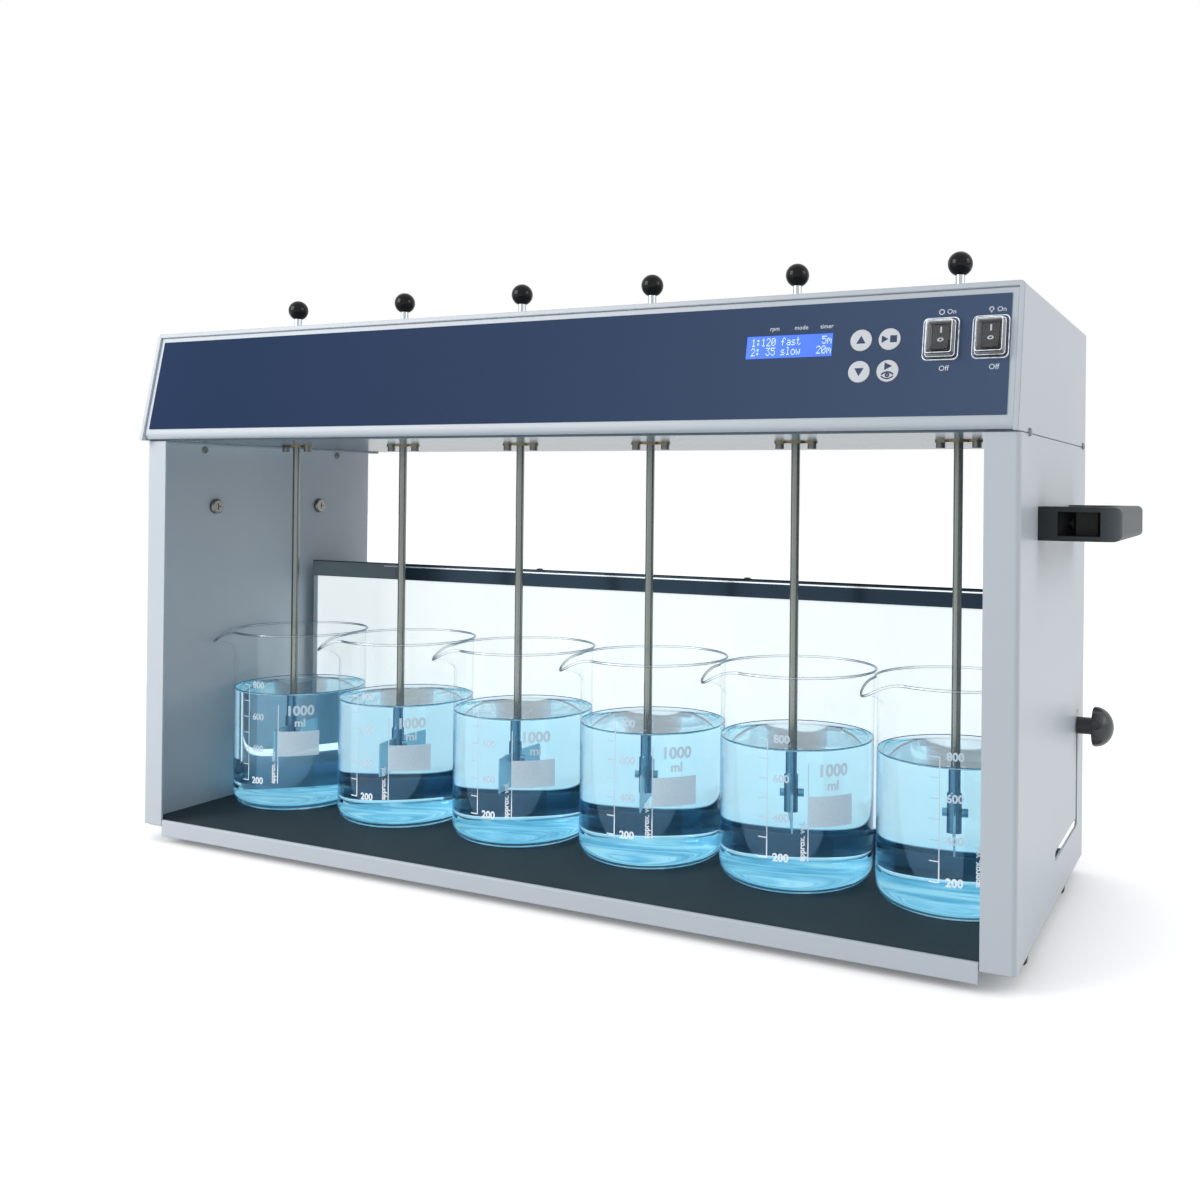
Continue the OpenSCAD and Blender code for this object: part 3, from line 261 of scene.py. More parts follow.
def on_slope(flat, out=panel_face + ink_proud):
    """Points at u from the hood's left side, v up its slope and a set height out of it."""
    return slope_foot + flat[:, :1] * np.array([1, 0, 0]) + flat[:, 1:] * slope_up + out * slope_out


def bar(x0, y0, x1, y1):
    """A rectangle between two corners."""
    return np.array([(x0, y0), (x1, y0), (x1, y1), (x0, y1)]), [(0, 1, 2, 3)]


def shape(*corners):
    """A filled outline."""
    return np.array(corners), [tuple(range(len(corners)))]


def ring(x, y, outer, inner, start=0, end=360, flat=1.0, steps=32):
    """A ring, or a part of one, about (x, y); flat under 1 presses it to an ellipse."""
    turn = np.radians(np.linspace(start, end, steps + 1))
    side = np.stack([np.cos(turn), np.sin(turn) * flat], 1)
    k = np.arange(steps)
    return (np.concatenate([side * inner, side * outer]) + (x, y),
            np.stack([k, k + steps + 1, k + steps + 2, k + 1], 1).tolist())


def letters(words, x, y, height, align="LEFT", turned=False, weight=0.0):
    """Lettering whose capitals are height tall, standing on (x, y); turned runs it upwards."""
    line = bpy.data.curves.new("line", "FONT")
    line.body, line.size, line.align_x = words, height / 0.72, align
    line.resolution_u, line.offset = 3, weight * height
    carrier = bpy.data.objects.new("line", line)
    bpy.context.scene.collection.objects.link(carrier)
    bpy.context.view_layer.update()
    drawn = bpy.data.meshes.new_from_object(carrier.evaluated_get(bpy.context.evaluated_depsgraph_get()))
    places = np.zeros(len(drawn.vertices) * 3)
    drawn.vertices.foreach_get("co", places)
    flat = places.reshape(-1, 3)[:, :2]
    if turned:
        flat = np.stack([-flat[:, 1], flat[:, 0]], 1)
    faces = [tuple(f.vertices) for f in drawn.polygons]
    bpy.data.objects.remove(carrier)
    bpy.data.meshes.remove(drawn)
    return flat + (x, y), faces


def piece_from(name, mesh, made, body):
    """A piece from a mesh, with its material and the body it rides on."""
    mesh.materials.append(made)
    piece = bpy.data.objects.new(name, mesh)
    bpy.context.scene.collection.objects.link(piece)
    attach(piece, body)
    return piece


def printed(name, shapes, place, made, body, weave=None):
    """Flat shapes put on a surface by place as one piece; weave cuts them in strips that wide first."""
    points, faces, count = [], [], 0
    for flat, own in shapes:
        points.append(flat)
        faces += [tuple(int(k) + count for k in f) for f in own]
        count += len(flat)
    flat = np.concatenate(points)
    if weave:
        work = bmesh.new()
        corners = [work.verts.new((*p, 0)) for p in flat]
        for f in faces:
            if len(set(f)) > 2:
                work.faces.new([corners[k] for k in dict.fromkeys(f)])
        for x in np.arange(flat[:, 0].min() + weave, flat[:, 0].max(), weave):
            bmesh.ops.bisect_plane(work, geom=work.verts[:] + work.edges[:] + work.faces[:],
                                   plane_co=(x, 0, 0), plane_no=(1, 0, 0))
        work.verts.index_update()
        flat = np.array([v.co[:2] for v in work.verts])
        faces = [tuple(v.index for v in f.verts) for f in work.faces]
        work.free()
    mesh = bpy.data.meshes.new(name)
    mesh.from_pydata(place(flat).tolist(), [], faces)
    mesh.validate()
    return piece_from(name, mesh, made, body)


film, shader, start = finish("overlay_print", overlay_navy, Roughness=0.5, Specular_IOR_Level=0.03)
where = start.node("TexCoord", out=3)
cloud = start.node("TexNoise", Vector=where, Scale=5.0, Detail=3.0)
# The film pales towards the panel's right end: a painted sheen.
painted_sheen = ((start.node("SeparateXYZ", i0=where) + half_width) * (1 / (2 * half_width))).clamped() ** 2.0
link(painted_sheen.mixed(cloud.mixed(rgb(38, 57, 90), rgb(43, 63, 97)), rgb(86, 103, 132)), shader["Base Color"])
link(bump(start.node("TexNoise", Vector=where, Scale=2600.0), 0.00001), shader["Normal"])
dress(film, "control_overlay")

legend_ink = speckled("legend_print", legend_white, rgb(220, 227, 236), rgb(232, 238, 245), 3000.0, Roughness=0.5)
words_v, on_v, off_v, stroke = 0.0635, 0.0684, 0.0350, 0.015
legends = [letters(words, u, words_v, 0.0027, "CENTER", weight=stroke)
           for words, u in (("rpm", 0.5228), ("mode", 0.5398), ("timer", 0.5558))]
for column in (0.6268, 0.6548):
    legends += [letters("On", column + 0.0002, on_v, 0.0029, weight=stroke),
                letters("Off", column, off_v, 0.0031, "CENTER", weight=stroke)]
legends += [ring(0.6240, 0.0697, 0.0017, 0.0011), ring(0.6520, 0.0701, 0.0014, 0.0008, -50, 230),
            bar(0.6514, 0.0683, 0.6526, 0.0690), bar(0.6517, 0.0678, 0.6523, 0.0681)]
printed("panel_legends", legends, on_slope, legend_ink, "root")

# ---------------------------------------------------------------- display
# A lit blue module behind a window in the panel: two rows of sixteen signs, each five dots by seven.
display_blue = rgb(63, 111, 240)
dot_signs = {"0": "3E5149453E", "1": "00427F4000", "2": "4261514946", "3": "2141454B31", "5": "2745454539",
             ":": "0036360000", "a": "2054545478", "f": "087E090102", "s": "4854545420", "t": "043F444020",
             "l": "00417F4000", "o": "3844444438", "w": "3C4030403C", "m": "7C04180478", " ": "0000000000"}
window_u, window_v, sign_pitch, dot_u, dot_v = 0.5325, 0.0534, 0.00321, 0.00054, 0.00072
text_shift, top_row, row_pitch, dot_fill, sign_out = 0.0016, 0.0056, 0.0060, 0.84, -0.00115

glass, shader, start = finish("display_glass", display_blue, Roughness=0.12, Coat_Weight=0.3,
                              Emission_Strength=0.62)
spot = noise(start, 26.0)
shade = spot.mixed(rgb(52, 98, 236), rgb(78, 126, 246))
link(shade, shader["Base Color"])
link(shade, shader["Emission Color"])
dress(glass, "display")

dots = []
for row, text in enumerate(("1:120 fast    5m", "2: 35 slow   20m")):
    for place, sign in enumerate(text):
        columns = bytes.fromhex(dot_signs[sign])
        left = window_u + (place - 8) * sign_pitch + text_shift
        top = window_v + top_row - row * row_pitch
        dots += [bar(left + c * dot_u, top - (k + dot_fill) * dot_v, left + (c + dot_fill) * dot_u, top - k * dot_v)
                 for c in range(5) for k in range(7) if columns[c] >> k & 1]
lit_dot, shader, start = finish("lit_dots", rgb(205, 226, 255), Roughness=0.3, Emission_Strength=0.75)
link(noise(start, 900.0).mixed(
    rgb(196, 220, 255), rgb(216, 234, 255)), shader["Emission Color"])
printed("display_signs", dots, lambda flat: on_slope(flat, sign_out), lit_dot, "root")

# ---------------------------------------------------------------- keys
# Four round keys moulded in pale plastic. Their navy signs are printed on the caps: faster, slower,
# start or stop, and run with the lamp.
key_u, key_v, key_step_u, key_step_v, key_face = 0.5775, 0.055, 0.017, 0.019, -0.00056

dress(speckled("key_plastic", rgb(232, 236, 242), rgb(229, 233, 239), rgb(236, 240, 245), 500.0, 0.00001,
               Roughness=0.38, Coat_Weight=0.1), "key_up", "key_down", "key_start", "key_light")

key_ink = speckled("key_signs", rgb(30, 52, 92), rgb(27, 48, 88), rgb(34, 57, 98), 800.0, Roughness=0.45)
first, second = key_u, key_u + key_step_u
upper, lower = key_v, key_v - key_step_v
tip, base = 0.0028, 0.0021
key_signs = {
    "key_up": [shape((first - tip, upper - base), (first + tip, upper - base), (first, upper + tip))],
    "key_down": [shape((first - tip, lower + base), (first, lower - tip), (first + tip, lower + base))],
    "key_start": [shape((second - 0.0046, upper - 0.0022), (second - 0.0006, upper),
                        (second - 0.0046, upper + 0.0022)),
                  bar(second + 0.0004, upper - 0.0021, second + 0.0044, upper + 0.0021)],
    "key_light": [shape((second - 0.0019, lower + 0.0004), (second + 0.0027, lower + 0.0027),
                        (second - 0.0019, lower + 0.0050)),
                  ring(second, lower - 0.0055, 0.0052, 0.0042, 42, 138),
                  ring(second, lower + 0.0001, 0.0052, 0.0044, 222, 318),
                  ring(second, lower - 0.0026, 0.0014, 0.0003)],
}
for name, signs in key_signs.items():
    printed(name + "_sign", signs, lambda flat: on_slope(flat, key_face), key_ink, name)

# ---------------------------------------------------------------- power switches
# Two black rockers in snap-in housings, each under a soft clear splash boot. I and O are inlaid white.
switch_u, switch_step, switch_v = 0.6245, 0.028, 0.0534

dress(speckled("switch_plastic", rgb(38, 40, 43), rgb(32, 34, 37), rgb(44, 46, 49), 1800.0, 0.00003,
               Roughness=0.42), "switch_bodies")
dress(speckled("rocker_plastic", rgb(24, 25, 27), rgb(20, 21, 23), rgb(30, 31, 34), 1500.0, 0.00002,
               Roughness=0.3, Coat_Weight=0.2), "rocker_drive", "rocker_lamp")

inlay = speckled("rocker_inlay", rgb(226, 230, 232), rgb(214, 219, 222), rgb(236, 239, 241), 2500.0,
                 Roughness=0.45)
half_swing, rocker_waist, inlay_proud = math.radians(12), 0.0015, 0.00004
for name, centre in (("rocker_drive", switch_u), ("rocker_lamp", switch_u + switch_step)):
    def on_rocker(flat, centre=centre):
        """Points on a rocker's two facets: its valley lies half a swing to each side, and the whole is
        turned back by half a swing about its pin."""
        height = rocker_waist + inlay_proud + np.abs(flat[:, 1]) * math.tan(half_swing)
        along = flat[:, 1] * math.cos(half_swing) + height * math.sin(half_swing)
        out = height * math.cos(half_swing) - flat[:, 1] * math.sin(half_swing) + panel_face
        return on_slope(np.stack([flat[:, 0] + centre, along + switch_v], 1), out[:, None])

    printed(name + "_signs", [bar(-0.0005, 0.0031, 0.0005, 0.0066), ring(0, -0.0011, 0.0018, 0.0009, flat=0.8)],
            on_rocker, inlay, name)


def grid(name, patches, made, body, round_u=True, round_v=False):
    """One smooth piece from patches points[u, v]; round closes them on themselves, and doubled points merge."""
    points, faces, count = [], [], 0
    for patch in patches:
        nu, nv = patch.shape[:2]
        u, v = np.meshgrid(np.arange(nu if round_u else nu - 1), np.arange(nv if round_v else nv - 1),
                           indexing="ij")
        nu1, nv1 = (u + 1) % nu, (v + 1) % nv
        corners = np.stack([u * nv + v, nu1 * nv + v, nu1 * nv + nv1, u * nv + nv1], -1)
        faces.append(corners.reshape(-1, 4) + count)
        points.append(patch.reshape(-1, 3))
        count += nu * nv
    mesh = bpy.data.meshes.new(name)
    mesh.from_pydata(np.concatenate(points).tolist(), [], np.concatenate(faces).tolist())
    work = bmesh.new()
    work.from_mesh(mesh)
    bmesh.ops.remove_doubles(work, verts=work.verts[:], dist=1e-6)
    bmesh.ops.recalc_face_normals(work, faces=work.faces[:])
    work.to_mesh(mesh)
    work.free()
    mesh.polygons.foreach_set("use_smooth", [True] * len(mesh.polygons))
    return piece_from(name, mesh, made, body)


def rounded(half_w, half_h, radius):
    """A rectangle's outline with its corners rounded: four quarter circles about the corners' centres."""
    turn = np.radians(np.arange(0, 360, 7.5)) + np.radians(3.75)
    return np.stack([np.sign(np.cos(turn)) * (half_w - radius) + radius * np.cos(turn),
                     np.sign(np.sin(turn)) * (half_h - radius) + radius * np.sin(turn)], 1)


sky_glow = (0.92, 0.96, 1, 1)
# The clear boot glows faintly in a pale sky tint: a painted reflection of the bright room.
boot, shader, start = finish("clear_boot", rgb(244, 247, 250), Roughness=0.16, Emission_Strength=0.2)
shader["Emission Color"].default_value = sky_glow
graze = start.node("LayerWeight", out=1, Blend=0.5)
edge = ((graze - 0.34) * 2.6).clamped()
link(1.0 - edge, shader["Metallic"])
link((edge ** 1.5 * 0.42 + 0.012).clamped(), shader["Alpha"])
link(edge.mixed(rgb(236, 240, 244), rgb(250, 252, 253)), shader["Base Color"])
# Thin beads round each boot's folds carry white, faintly glowing spots: painted glints.
glint, shader, start = finish("boot_glint", rgb(236, 242, 247), Roughness=0.2, Emission_Strength=0.45)
shader["Emission Color"].default_value = sky_glow
spark = noise(start, 240.0)
link((spark * 2.6 - 0.55).clamped(), shader["Alpha"])
link(spark.mixed(rgb(226, 234, 240), rgb(246, 250, 252)), shader["Base Color"])
boot_w, boot_h, boot_r, boot_skin = 0.01025, 0.0125, 0.003, 0.0008
boot_side = [(0, 0), (0, 0.0011), (0.0003, 0.0015), (0.0012, 0.0016), (0.0018, 0.0020), (0.0020, 0.0030),
             (0.0022, 0.0058), (0.0026, 0.0065), (0.0034, 0.0068)]
boot_glint_rings = [(0.0002, 0.0014, 0.00021), (0.0019, 0.0022, 0.00016), (0.0029, 0.0068, 0.00020)]
edge_turns = np.radians(np.arange(0, 360, 60))


def boot_row(inset, skin=0.0, sharper=0.0):
    """A boot's outline at an inset from its foot, with corners that tighten as it narrows."""
    return rounded(boot_w - inset - skin, boot_h - inset - skin, max(boot_r - inset * 0.6, 0.0012) - sharper)


for name, centre in (("switch_boot_drive", switch_u), ("switch_boot_lamp", switch_u + switch_step)):
    def on_panel(rows, centre=centre):
        """Rows of a boot's outline laid on the panel round its centre, each at its height."""
        return np.stack([on_slope(flat + (centre, switch_v), out + panel_face) for flat, out in rows], 1)

    rows = [(boot_row(inset), out) for inset, out in boot_side]
    rows += [(rows[-1][0] * 0, boot_side[-1][1]), (rows[-1][0] * 0, boot_side[-1][1] - boot_skin)]
    rows += [(boot_row(inset, boot_skin, 0.0004), max(out - boot_skin, 0)) for inset, out in boot_side[::-1]]
    grid(name, [on_panel(rows)], boot, "root", round_v=True)
    glint_rims = []
    for inset, out, thick in boot_glint_rings:
        glint_rims.append(on_panel([(rounded(boot_w - inset + thick * math.cos(a), boot_h - inset + thick * math.cos(a),
                                       max(boot_r - inset * 0.6, 0.0012)), out + thick * math.sin(a))
                              for a in edge_turns]))
    grid(name + "_edges", glint_rims, glint, "root", round_v=True)
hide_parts("switch_caps")

# ---------------------------------------------------------------- cabinet
# Side panels with folded posts, and the base tray with its hemmed front rail: one coat of the same
# grey powder, a shade paler than the hood.
cabinet_paint = powder_coat("cabinet_paint", rgb(213, 221, 229))
dress(cabinet_paint, "left_side_panel", "right_side_panel", "base_tray")

# ---------------------------------------------------------------- mat and feet
# A flat sheet of fine-grained rubber covers the tray. Four moulded rubber feet are screwed under it.
dress(speckled("mat_rubber", rgb(43, 56, 63), rgb(38, 50, 56), rgb(50, 64, 71), 700.0, 0.00012, 4.0,
               Roughness=0.7), "base_mat")
dress(speckled("foot_rubber", rgb(30, 31, 33), rgb(24, 25, 27), rgb(36, 37, 40), 900.0, 0.00008, 3.0,
               Roughness=0.65), "feet")

# ---------------------------------------------------------------- handles
# Bridge handles of glass-filled nylon, cored out in the legs and screwed on from inside the cabinet.
grip, shader, start = finish("handle_plastic", rgb(60, 68, 73), Roughness=0.5, Specular_IOR_Level=0.35)
pebble = noise(start, 1400.0, Detail=2.0)
# Where the cored pockets are hemmed in, the plastic is painted near black: painted shade.
painted_shade_openness = start.node("AmbientOcclusion", {"samples": 6}, out=1, Distance=0.06)
link((painted_shade_openness ** 3.0).mixed(rgb(10, 12, 13), pebble.mixed(rgb(56, 65, 70), rgb(74, 82, 87))), shader["Base Color"])
link(bump(pebble, 0.00006, start.node("Bevel", {"samples": 4}, Radius=0.0008)), shader["Normal"])
dress(grip, "handle_left", "handle_right")
steel, shader, start = finish("screw_steel", rgb(130, 130, 126), Roughness=0.3, Metallic=1.0)
tarnish = noise(start, 600.0, Detail=3.0)
link(tarnish.mixed(rgb(104, 103, 98), rgb(158, 158, 154)), shader["Base Color"])
link(tarnish * 0.2 + 0.2, shader["Roughness"])
dress(steel, "handle_screws")
dark_steel = speckled("bearing_screw_steel", rgb(90, 92, 92), rgb(96, 101, 102), rgb(140, 145, 145), 900.0,
                      detail=3.0, Roughness=0.35, Metallic=0.9)
dress(dark_steel, "bearing_screws")

# ---------------------------------------------------------------- lit panel
# A shallow sheet-steel box with rows of lamps on its back, an opal diffuser in its mouth and a
# polished lip screwed along its top.
dress(powder_coat("light_sheet", rgb(214, 219, 222)), "light_housing")
# A dark strip runs along the foot of the panel's mouth.
dark_strip = speckled("panel_dark_strip", rgb(34, 42, 46), rgb(28, 35, 39), rgb(42, 51, 55), 900.0, 0.00006, 3.0,
                  Roughness=0.6)
strip_end, strip_y, strip_foot, strip_proud, strip_high = 0.324, 0.04855, 0.0297, 0.0006, 0.0034
strip_side = rounded(strip_proud / 2, strip_high / 2, 0.00028)
strip_x = np.linspace(-strip_end, strip_end, 40)
grid("panel_dark_strip", [np.stack([strip_x[:, None] + 0 * strip_side[:, 0],
                                strip_y - strip_proud / 2 + strip_side[:, 0] + 0 * strip_x[:, None],
                                strip_foot + strip_high / 2 + strip_side[:, 1] + 0 * strip_x[:, None]],
                               -1).transpose(1, 0, 2)], dark_strip, "light_box")
opal, shader, start = finish("diffuser_plastic", rgb(236, 240, 240), Roughness=0.5, Emission_Strength=0.72)
glow = noise(start, 6.0)
link(glow.mixed(rgb(238, 246, 247), rgb(246, 250, 250)), shader["Emission Color"])
link(glow.mixed(rgb(200, 205, 205), rgb(210, 214, 214)), shader["Base Color"])
dress(opal, "light_diffuser")
dress(speckled("led_board", rgb(228, 228, 214), rgb(222, 222, 206), rgb(236, 236, 224), 400.0, Roughness=0.5),
      "light_board")
# The lip's colour is painted reflection: pale grey over its left end, where it would mirror the left wall, and dark
# slate elsewhere, with a painted highlight along its hem and a dark painted reflection along its top edge.
lip, shader, start = finish("lip_steel", rgb(60, 72, 84), Roughness=0.2, Metallic=1.0)
where = start.node("TexCoord", out=3)
along, high = start.node("SeparateXYZ", i0=where), start.node("SeparateXYZ", out=2, i0=where)
painted_reflection_band = start.node("ValToRGB", {"stops": [(0.0, rgb(150, 158, 158)), (0.152, rgb(140, 149, 150)),
                                         (0.168, rgb(50, 64, 76)), (1.0, rgb(36, 48, 60))]},
                  Fac=(along + half_width) * (1 / (2 * half_width)))
hem_foot, hem_head, hem_start, lip_top = 0.2063, 0.2073, -0.245, 0.2087
painted_hem_highlight = (high > hem_foot) * (high < hem_head) * (along > hem_start)
link((high > lip_top).mixed(painted_hem_highlight.mixed(painted_reflection_band, rgb(236, 242, 244)), rgb(30, 40, 48)), shader["Base Color"])
dress(lip, "light_trim")


def screw_head(at, axis, radius, height, steps=24):
    """A pan head turned about an axis from its seat at a point: a rounded disc with a cross sunk in it,
    whose edge in polar form is the lesser of its reach and its arm's half width over the lesser of the
    turn's sine and cosine."""
    turn = np.radians(np.linspace(0, 360, steps, endpoint=False) + 180 / steps)
    least = np.minimum(np.abs(np.sin(turn)), np.abs(np.cos(turn)))
    cross = np.minimum(radius * 0.56, radius * 0.14 / least)
    rows = [(cross * 0, height * 0.35), (cross * 0.98, height * 0.35), (cross, height),
            (cross * 0 + radius * 0.72, height * 0.96), (cross * 0 + radius * 0.92, height * 0.75),
            (cross * 0 + radius, height * 0.4), (cross * 0 + radius, 0)]
    axis = Vector(axis).normalized()
    side = np.array(axis.orthogonal().normalized())
    over, axis = np.cross(np.array(axis), side), np.array(axis)
    return np.stack([np.array(at) + side * (r * np.cos(turn))[:, None] + over * (r * np.sin(turn))[:, None]
                     + axis * h for r, h in rows], 1)


lip_screw_x, lip_screw_y, lip_screw_z = 0.0943, 0.0635, 0.2046
grid("lip_screws", [screw_head((x, lip_screw_y, lip_screw_z), (0, 0, 1), 0.0034, 0.0047)
                    for x in (-lip_screw_x, lip_screw_x)], dark_steel, "light_box")

# ---------------------------------------------------------------- hood fastenings
# Small pan-head screws hold the hood's floor between the side panels, and bigger ones clamp the
# cover's side skirts over them. A thin dark grey bead fills the corner under the hood's floor.
wall_inner_x, floor_screw_z, skirt_screw_z, screw_high = 0.3335, 0.3048, 0.3106, 0.0014
grid("floor_screws", [screw_head((side * wall_inner_x, y, floor_screw_z), (-side, 0, 0), 0.0029, screw_high)
                      for side in (-1, 1) for y in (-0.0705, 0.0850)], dark_steel, "root")
grid("skirt_screws", [screw_head((side * half_width, y, skirt_screw_z), (side, 0, 0), 0.0024, screw_high)
                      for side in (-1, 1) for y in (-0.1010, 0.1130)], dark_steel, "root")
dark_bead_finish = speckled("corner_dark_bead", rgb(60, 66, 70), rgb(50, 56, 60), rgb(70, 77, 80), 300.0, Roughness=0.55)
arch = np.radians(np.linspace(0, 90, 5))
bead_r = 0.0012
hollow = bead_r * np.stack([1 - np.sin(arch), 1 - np.cos(arch)], 1)
hollow = np.concatenate([hollow, [(0, 0)]])
run_y = np.linspace(-0.118, 0.128, 24)
floor_under, bead_sink = 0.3102, 0.00005
grid("corner_beads", [np.stack([side * (wall_inner_x - hollow[:, 0] + bead_sink) + 0 * run_y[:, None],
                                run_y[:, None] + 0 * hollow[:, 0],
                                floor_under - hollow[:, 1] + bead_sink + 0 * run_y[:, None]], -1).transpose(1, 0, 2)
                      for side in (-1, 1)], dark_bead_finish, "root")

# ---------------------------------------------------------------- clamp knobs
# Scalloped phenolic knobs on steel studs hold the lit panel at its height.
knob, shader, start = finish("knob_plastic", rgb(42, 46, 50), Roughness=0.38, Coat_Weight=0.15)
pebble = noise(start, 900.0, Detail=2.0)
link(pebble.mixed(rgb(37, 41, 45), rgb(50, 54, 58)), shader["Base Color"])
link(bump(pebble, 0.00003, start.node("Bevel", {"samples": 4}, Radius=0.0008)), shader["Normal"])
dress(knob, "clamp_knob_left", "clamp_knob_right")

# ---------------------------------------------------------------- drive in the hood
# Brass flanged bushes carry hollow toothed pulleys, which rubber belts turn from one motor.
dress(speckled("bearing_brass", rgb(176, 150, 92), rgb(112, 104, 82), rgb(150, 138, 104), 500.0, detail=3.0,
               Roughness=0.3, Metallic=1.0), "bearings")
for name, node, colour, rough, metal in (
        ("belt_rubber", "drive_belts", (28, 28, 30), 0.7, 0.0),
        ("motor_steel", "motor", (96, 99, 104), 0.4, 0.8),
        ("rotor_steel", "motor_rotor", (150, 152, 156), 0.3, 1.0),
        ("circuit_board", "electronics", (34, 92, 58), 0.4, 0.0),
        ("inlet_plastic", "mains_inlet", (30, 31, 33), 0.45, 0.0)):
    dress(speckled(name, rgb(*colour), rgb(*[c * 0.88 for c in colour]), rgb(*[c * 1.1 for c in colour]), 450.0,
                   0.00005, 3.0, Roughness=rough, Metallic=metal), node)
dress(speckled("pulley_plastic", rgb(48, 49, 52), rgb(42, 43, 46), rgb(56, 57, 60), 700.0, Roughness=0.4),
      *["drive_pulley_%d" % k for k in range(1, 7)])

# ---------------------------------------------------------------- stirrers
# Each is a ground steel rod with a slit foot that pinches a flat paddle, and a ball of phenolic
# plastic on top to lift it by. Below the water the steel is painted blue, the tint the water would
# give its light, and over the hood it is painted paler: a painted highlight.
jar_foot, water_level, hood_top = 0.015, 0.0932, 0.3942

ground_steel, shader, start = finish("rod_steel", rgb(108, 115, 116), Roughness=0.22, Metallic=1.0)
where = start.node("TexCoord", out=3)
stain = start.node("TexNoise", Vector=where, Scale=22.0, Detail=3.0)
# Painted blue below the water: the tint the water would give the rod's light.
painted_water_tint = (start.node("SeparateXYZ", out=2, i0=where) < water_level + jar_foot) * 0.8
bare = stain.mixed(rgb(112, 117, 114), rgb(132, 137, 133))
# Painted paler above the hood: a painted highlight.
painted_stub_highlight = ((start.node("SeparateXYZ", out=2, i0=where) - hood_top) * (1 / 0.008)).clamped()
link(painted_stub_highlight.mixed(painted_water_tint.mixed(bare, rgb(58, 112, 140)), rgb(186, 193, 196)), shader["Base Color"])
link(stain * 0.12 + 0.16, shader["Roughness"])
dress(ground_steel, *["stirrer_rod_%d" % k for k in range(1, 7)])
# The paddles' cyan is painted: the tint the water in front would give their light.
sheet_steel, shader, start = finish("paddle_steel", rgb(128, 176, 198), Roughness=0.34, Metallic=0.7)
where = start.node("TexCoord", out=3)
brush = start.node("TexNoise", Scale=1.0,
                   Vector=start.node("Mapping", Vector=where, Scale=(60.0, 60.0, 900.0)))
link(brush.mixed(rgb(112, 164, 188), rgb(142, 190, 208)), shader["Base Color"])
dress(sheet_steel, *["paddle_%d" % k for k in range(1, 7)])
dress(speckled("ball_plastic", rgb(9, 10, 12), rgb(6, 7, 9), rgb(13, 14, 16), 300.0, Roughness=0.1, IOR=1.32),
      *["ball_knob_%d" % k for k in range(1, 7)])

# ---------------------------------------------------------------- beakers
# Low-form beakers blown in clear glass, with a beaded rim, a drawn spout, and a white enamel scale.
# Each holds not quite 800 ml of blue water, whose skin climbs a little at the wall.
station_pitch, jar_sides = 0.111, 192
jar_x = [(k - 2.5) * station_pitch for k in range(6)]
jar_y, jar_r, jar_h, jar_corner = -0.01745, 0.0525, 0.142, 0.010
rim_flare, flare_h, spout_reach, spout_root, spout_droop = 0.002, 0.006, 0.0147, 0.017, 0.0085
spout_heading, spout_spread = math.radians(222), 0.40


def jar_wall(turn, height):
    """A beaker's wall: its radius and height at a turn about its axis. It is straight, flares in a
    quarter curve to the rim, and near the rim swells to the spout, whose tip hangs below the rim."""
    flare = np.clip((height - (jar_h - flare_h)) / flare_h, 0, 1)
    rise = np.clip((height - (jar_h - spout_root)) / spout_root, 0, 1)
    away = np.abs((turn - spout_heading + math.pi) % (2 * math.pi) - math.pi)
    beak = np.clip(1 - away / spout_spread, 0, 1)
    beak = beak * beak * (3 - 2 * beak)
    radius = jar_r + rim_flare * (1 - np.sqrt(1 - flare ** 2 * 0.98)) + spout_reach * beak * rise ** 1.5
    return radius, height - spout_droop * beak ** 2 * rise ** 1.5


turns = np.linspace(0, 2 * math.pi, jar_sides, endpoint=False)
corner = np.radians(np.linspace(-90, 0, 10))
foot_r = jar_r - jar_corner + jar_corner * np.cos(corner)
foot_z = jar_corner + jar_corner * np.sin(corner)
heights = np.concatenate([np.linspace(jar_corner, jar_h - spout_root - 0.001, 7)[1:],
                          np.linspace(jar_h - spout_root, jar_h, 22)])
wall_r, wall_z = jar_wall(turns[:, None], heights[None, :])
skin_r = np.concatenate([np.zeros((jar_sides, 1)), np.tile(foot_r, (jar_sides, 1)), wall_r], 1)
skin_z = np.concatenate([np.zeros((jar_sides, 1)), np.tile(foot_z, (jar_sides, 1)), wall_z], 1)


def jar_points(x, radius, height):
    """Points round the axis of the jar at x, from radii and heights over its foot."""
    return np.stack([x + radius * np.cos(turns)[:, None], jar_y + radius * np.sin(turns)[:, None],
                     jar_foot + height], -1)


def turned_points(x, radii, heights):
    """Points round the axis of the jar at x, for a section that is the same at every turn."""
    return jar_points(x, np.tile(radii, (jar_sides, 1)), np.tile(heights, (jar_sides, 1)))


# The glass is painted: blue below the waterline, the water's tint seen through it, and grey above the water and
# deep blue below it along its outline, painted shade where the wall would bend darker light in.
jar_glass, shader, start = finish("jar_glass", rgb(225, 240, 244), Roughness=0.03, Metallic=1.0)
graze = start.node("LayerWeight", out=1, Blend=0.5)
edge = ((graze - 0.68) * 3.4).clamped()
filled = start.node("SeparateXYZ", out=2, i0=start.node("TexCoord", out=3)) < jar_foot + water_level
clear = filled.mixed(rgb(238, 248, 250), rgb(104, 184, 236))
link(edge.mixed(clear, filled.mixed(rgb(158, 176, 188), rgb(44, 142, 222))), shader["Base Color"])
link(1.0 - edge * 0.9, shader["Metallic"])
link((graze ** 6.0 * 0.3 + edge * (filled * 0.3 + 0.22) + filled * 0.04 + 0.03).clamped(), shader["Alpha"])

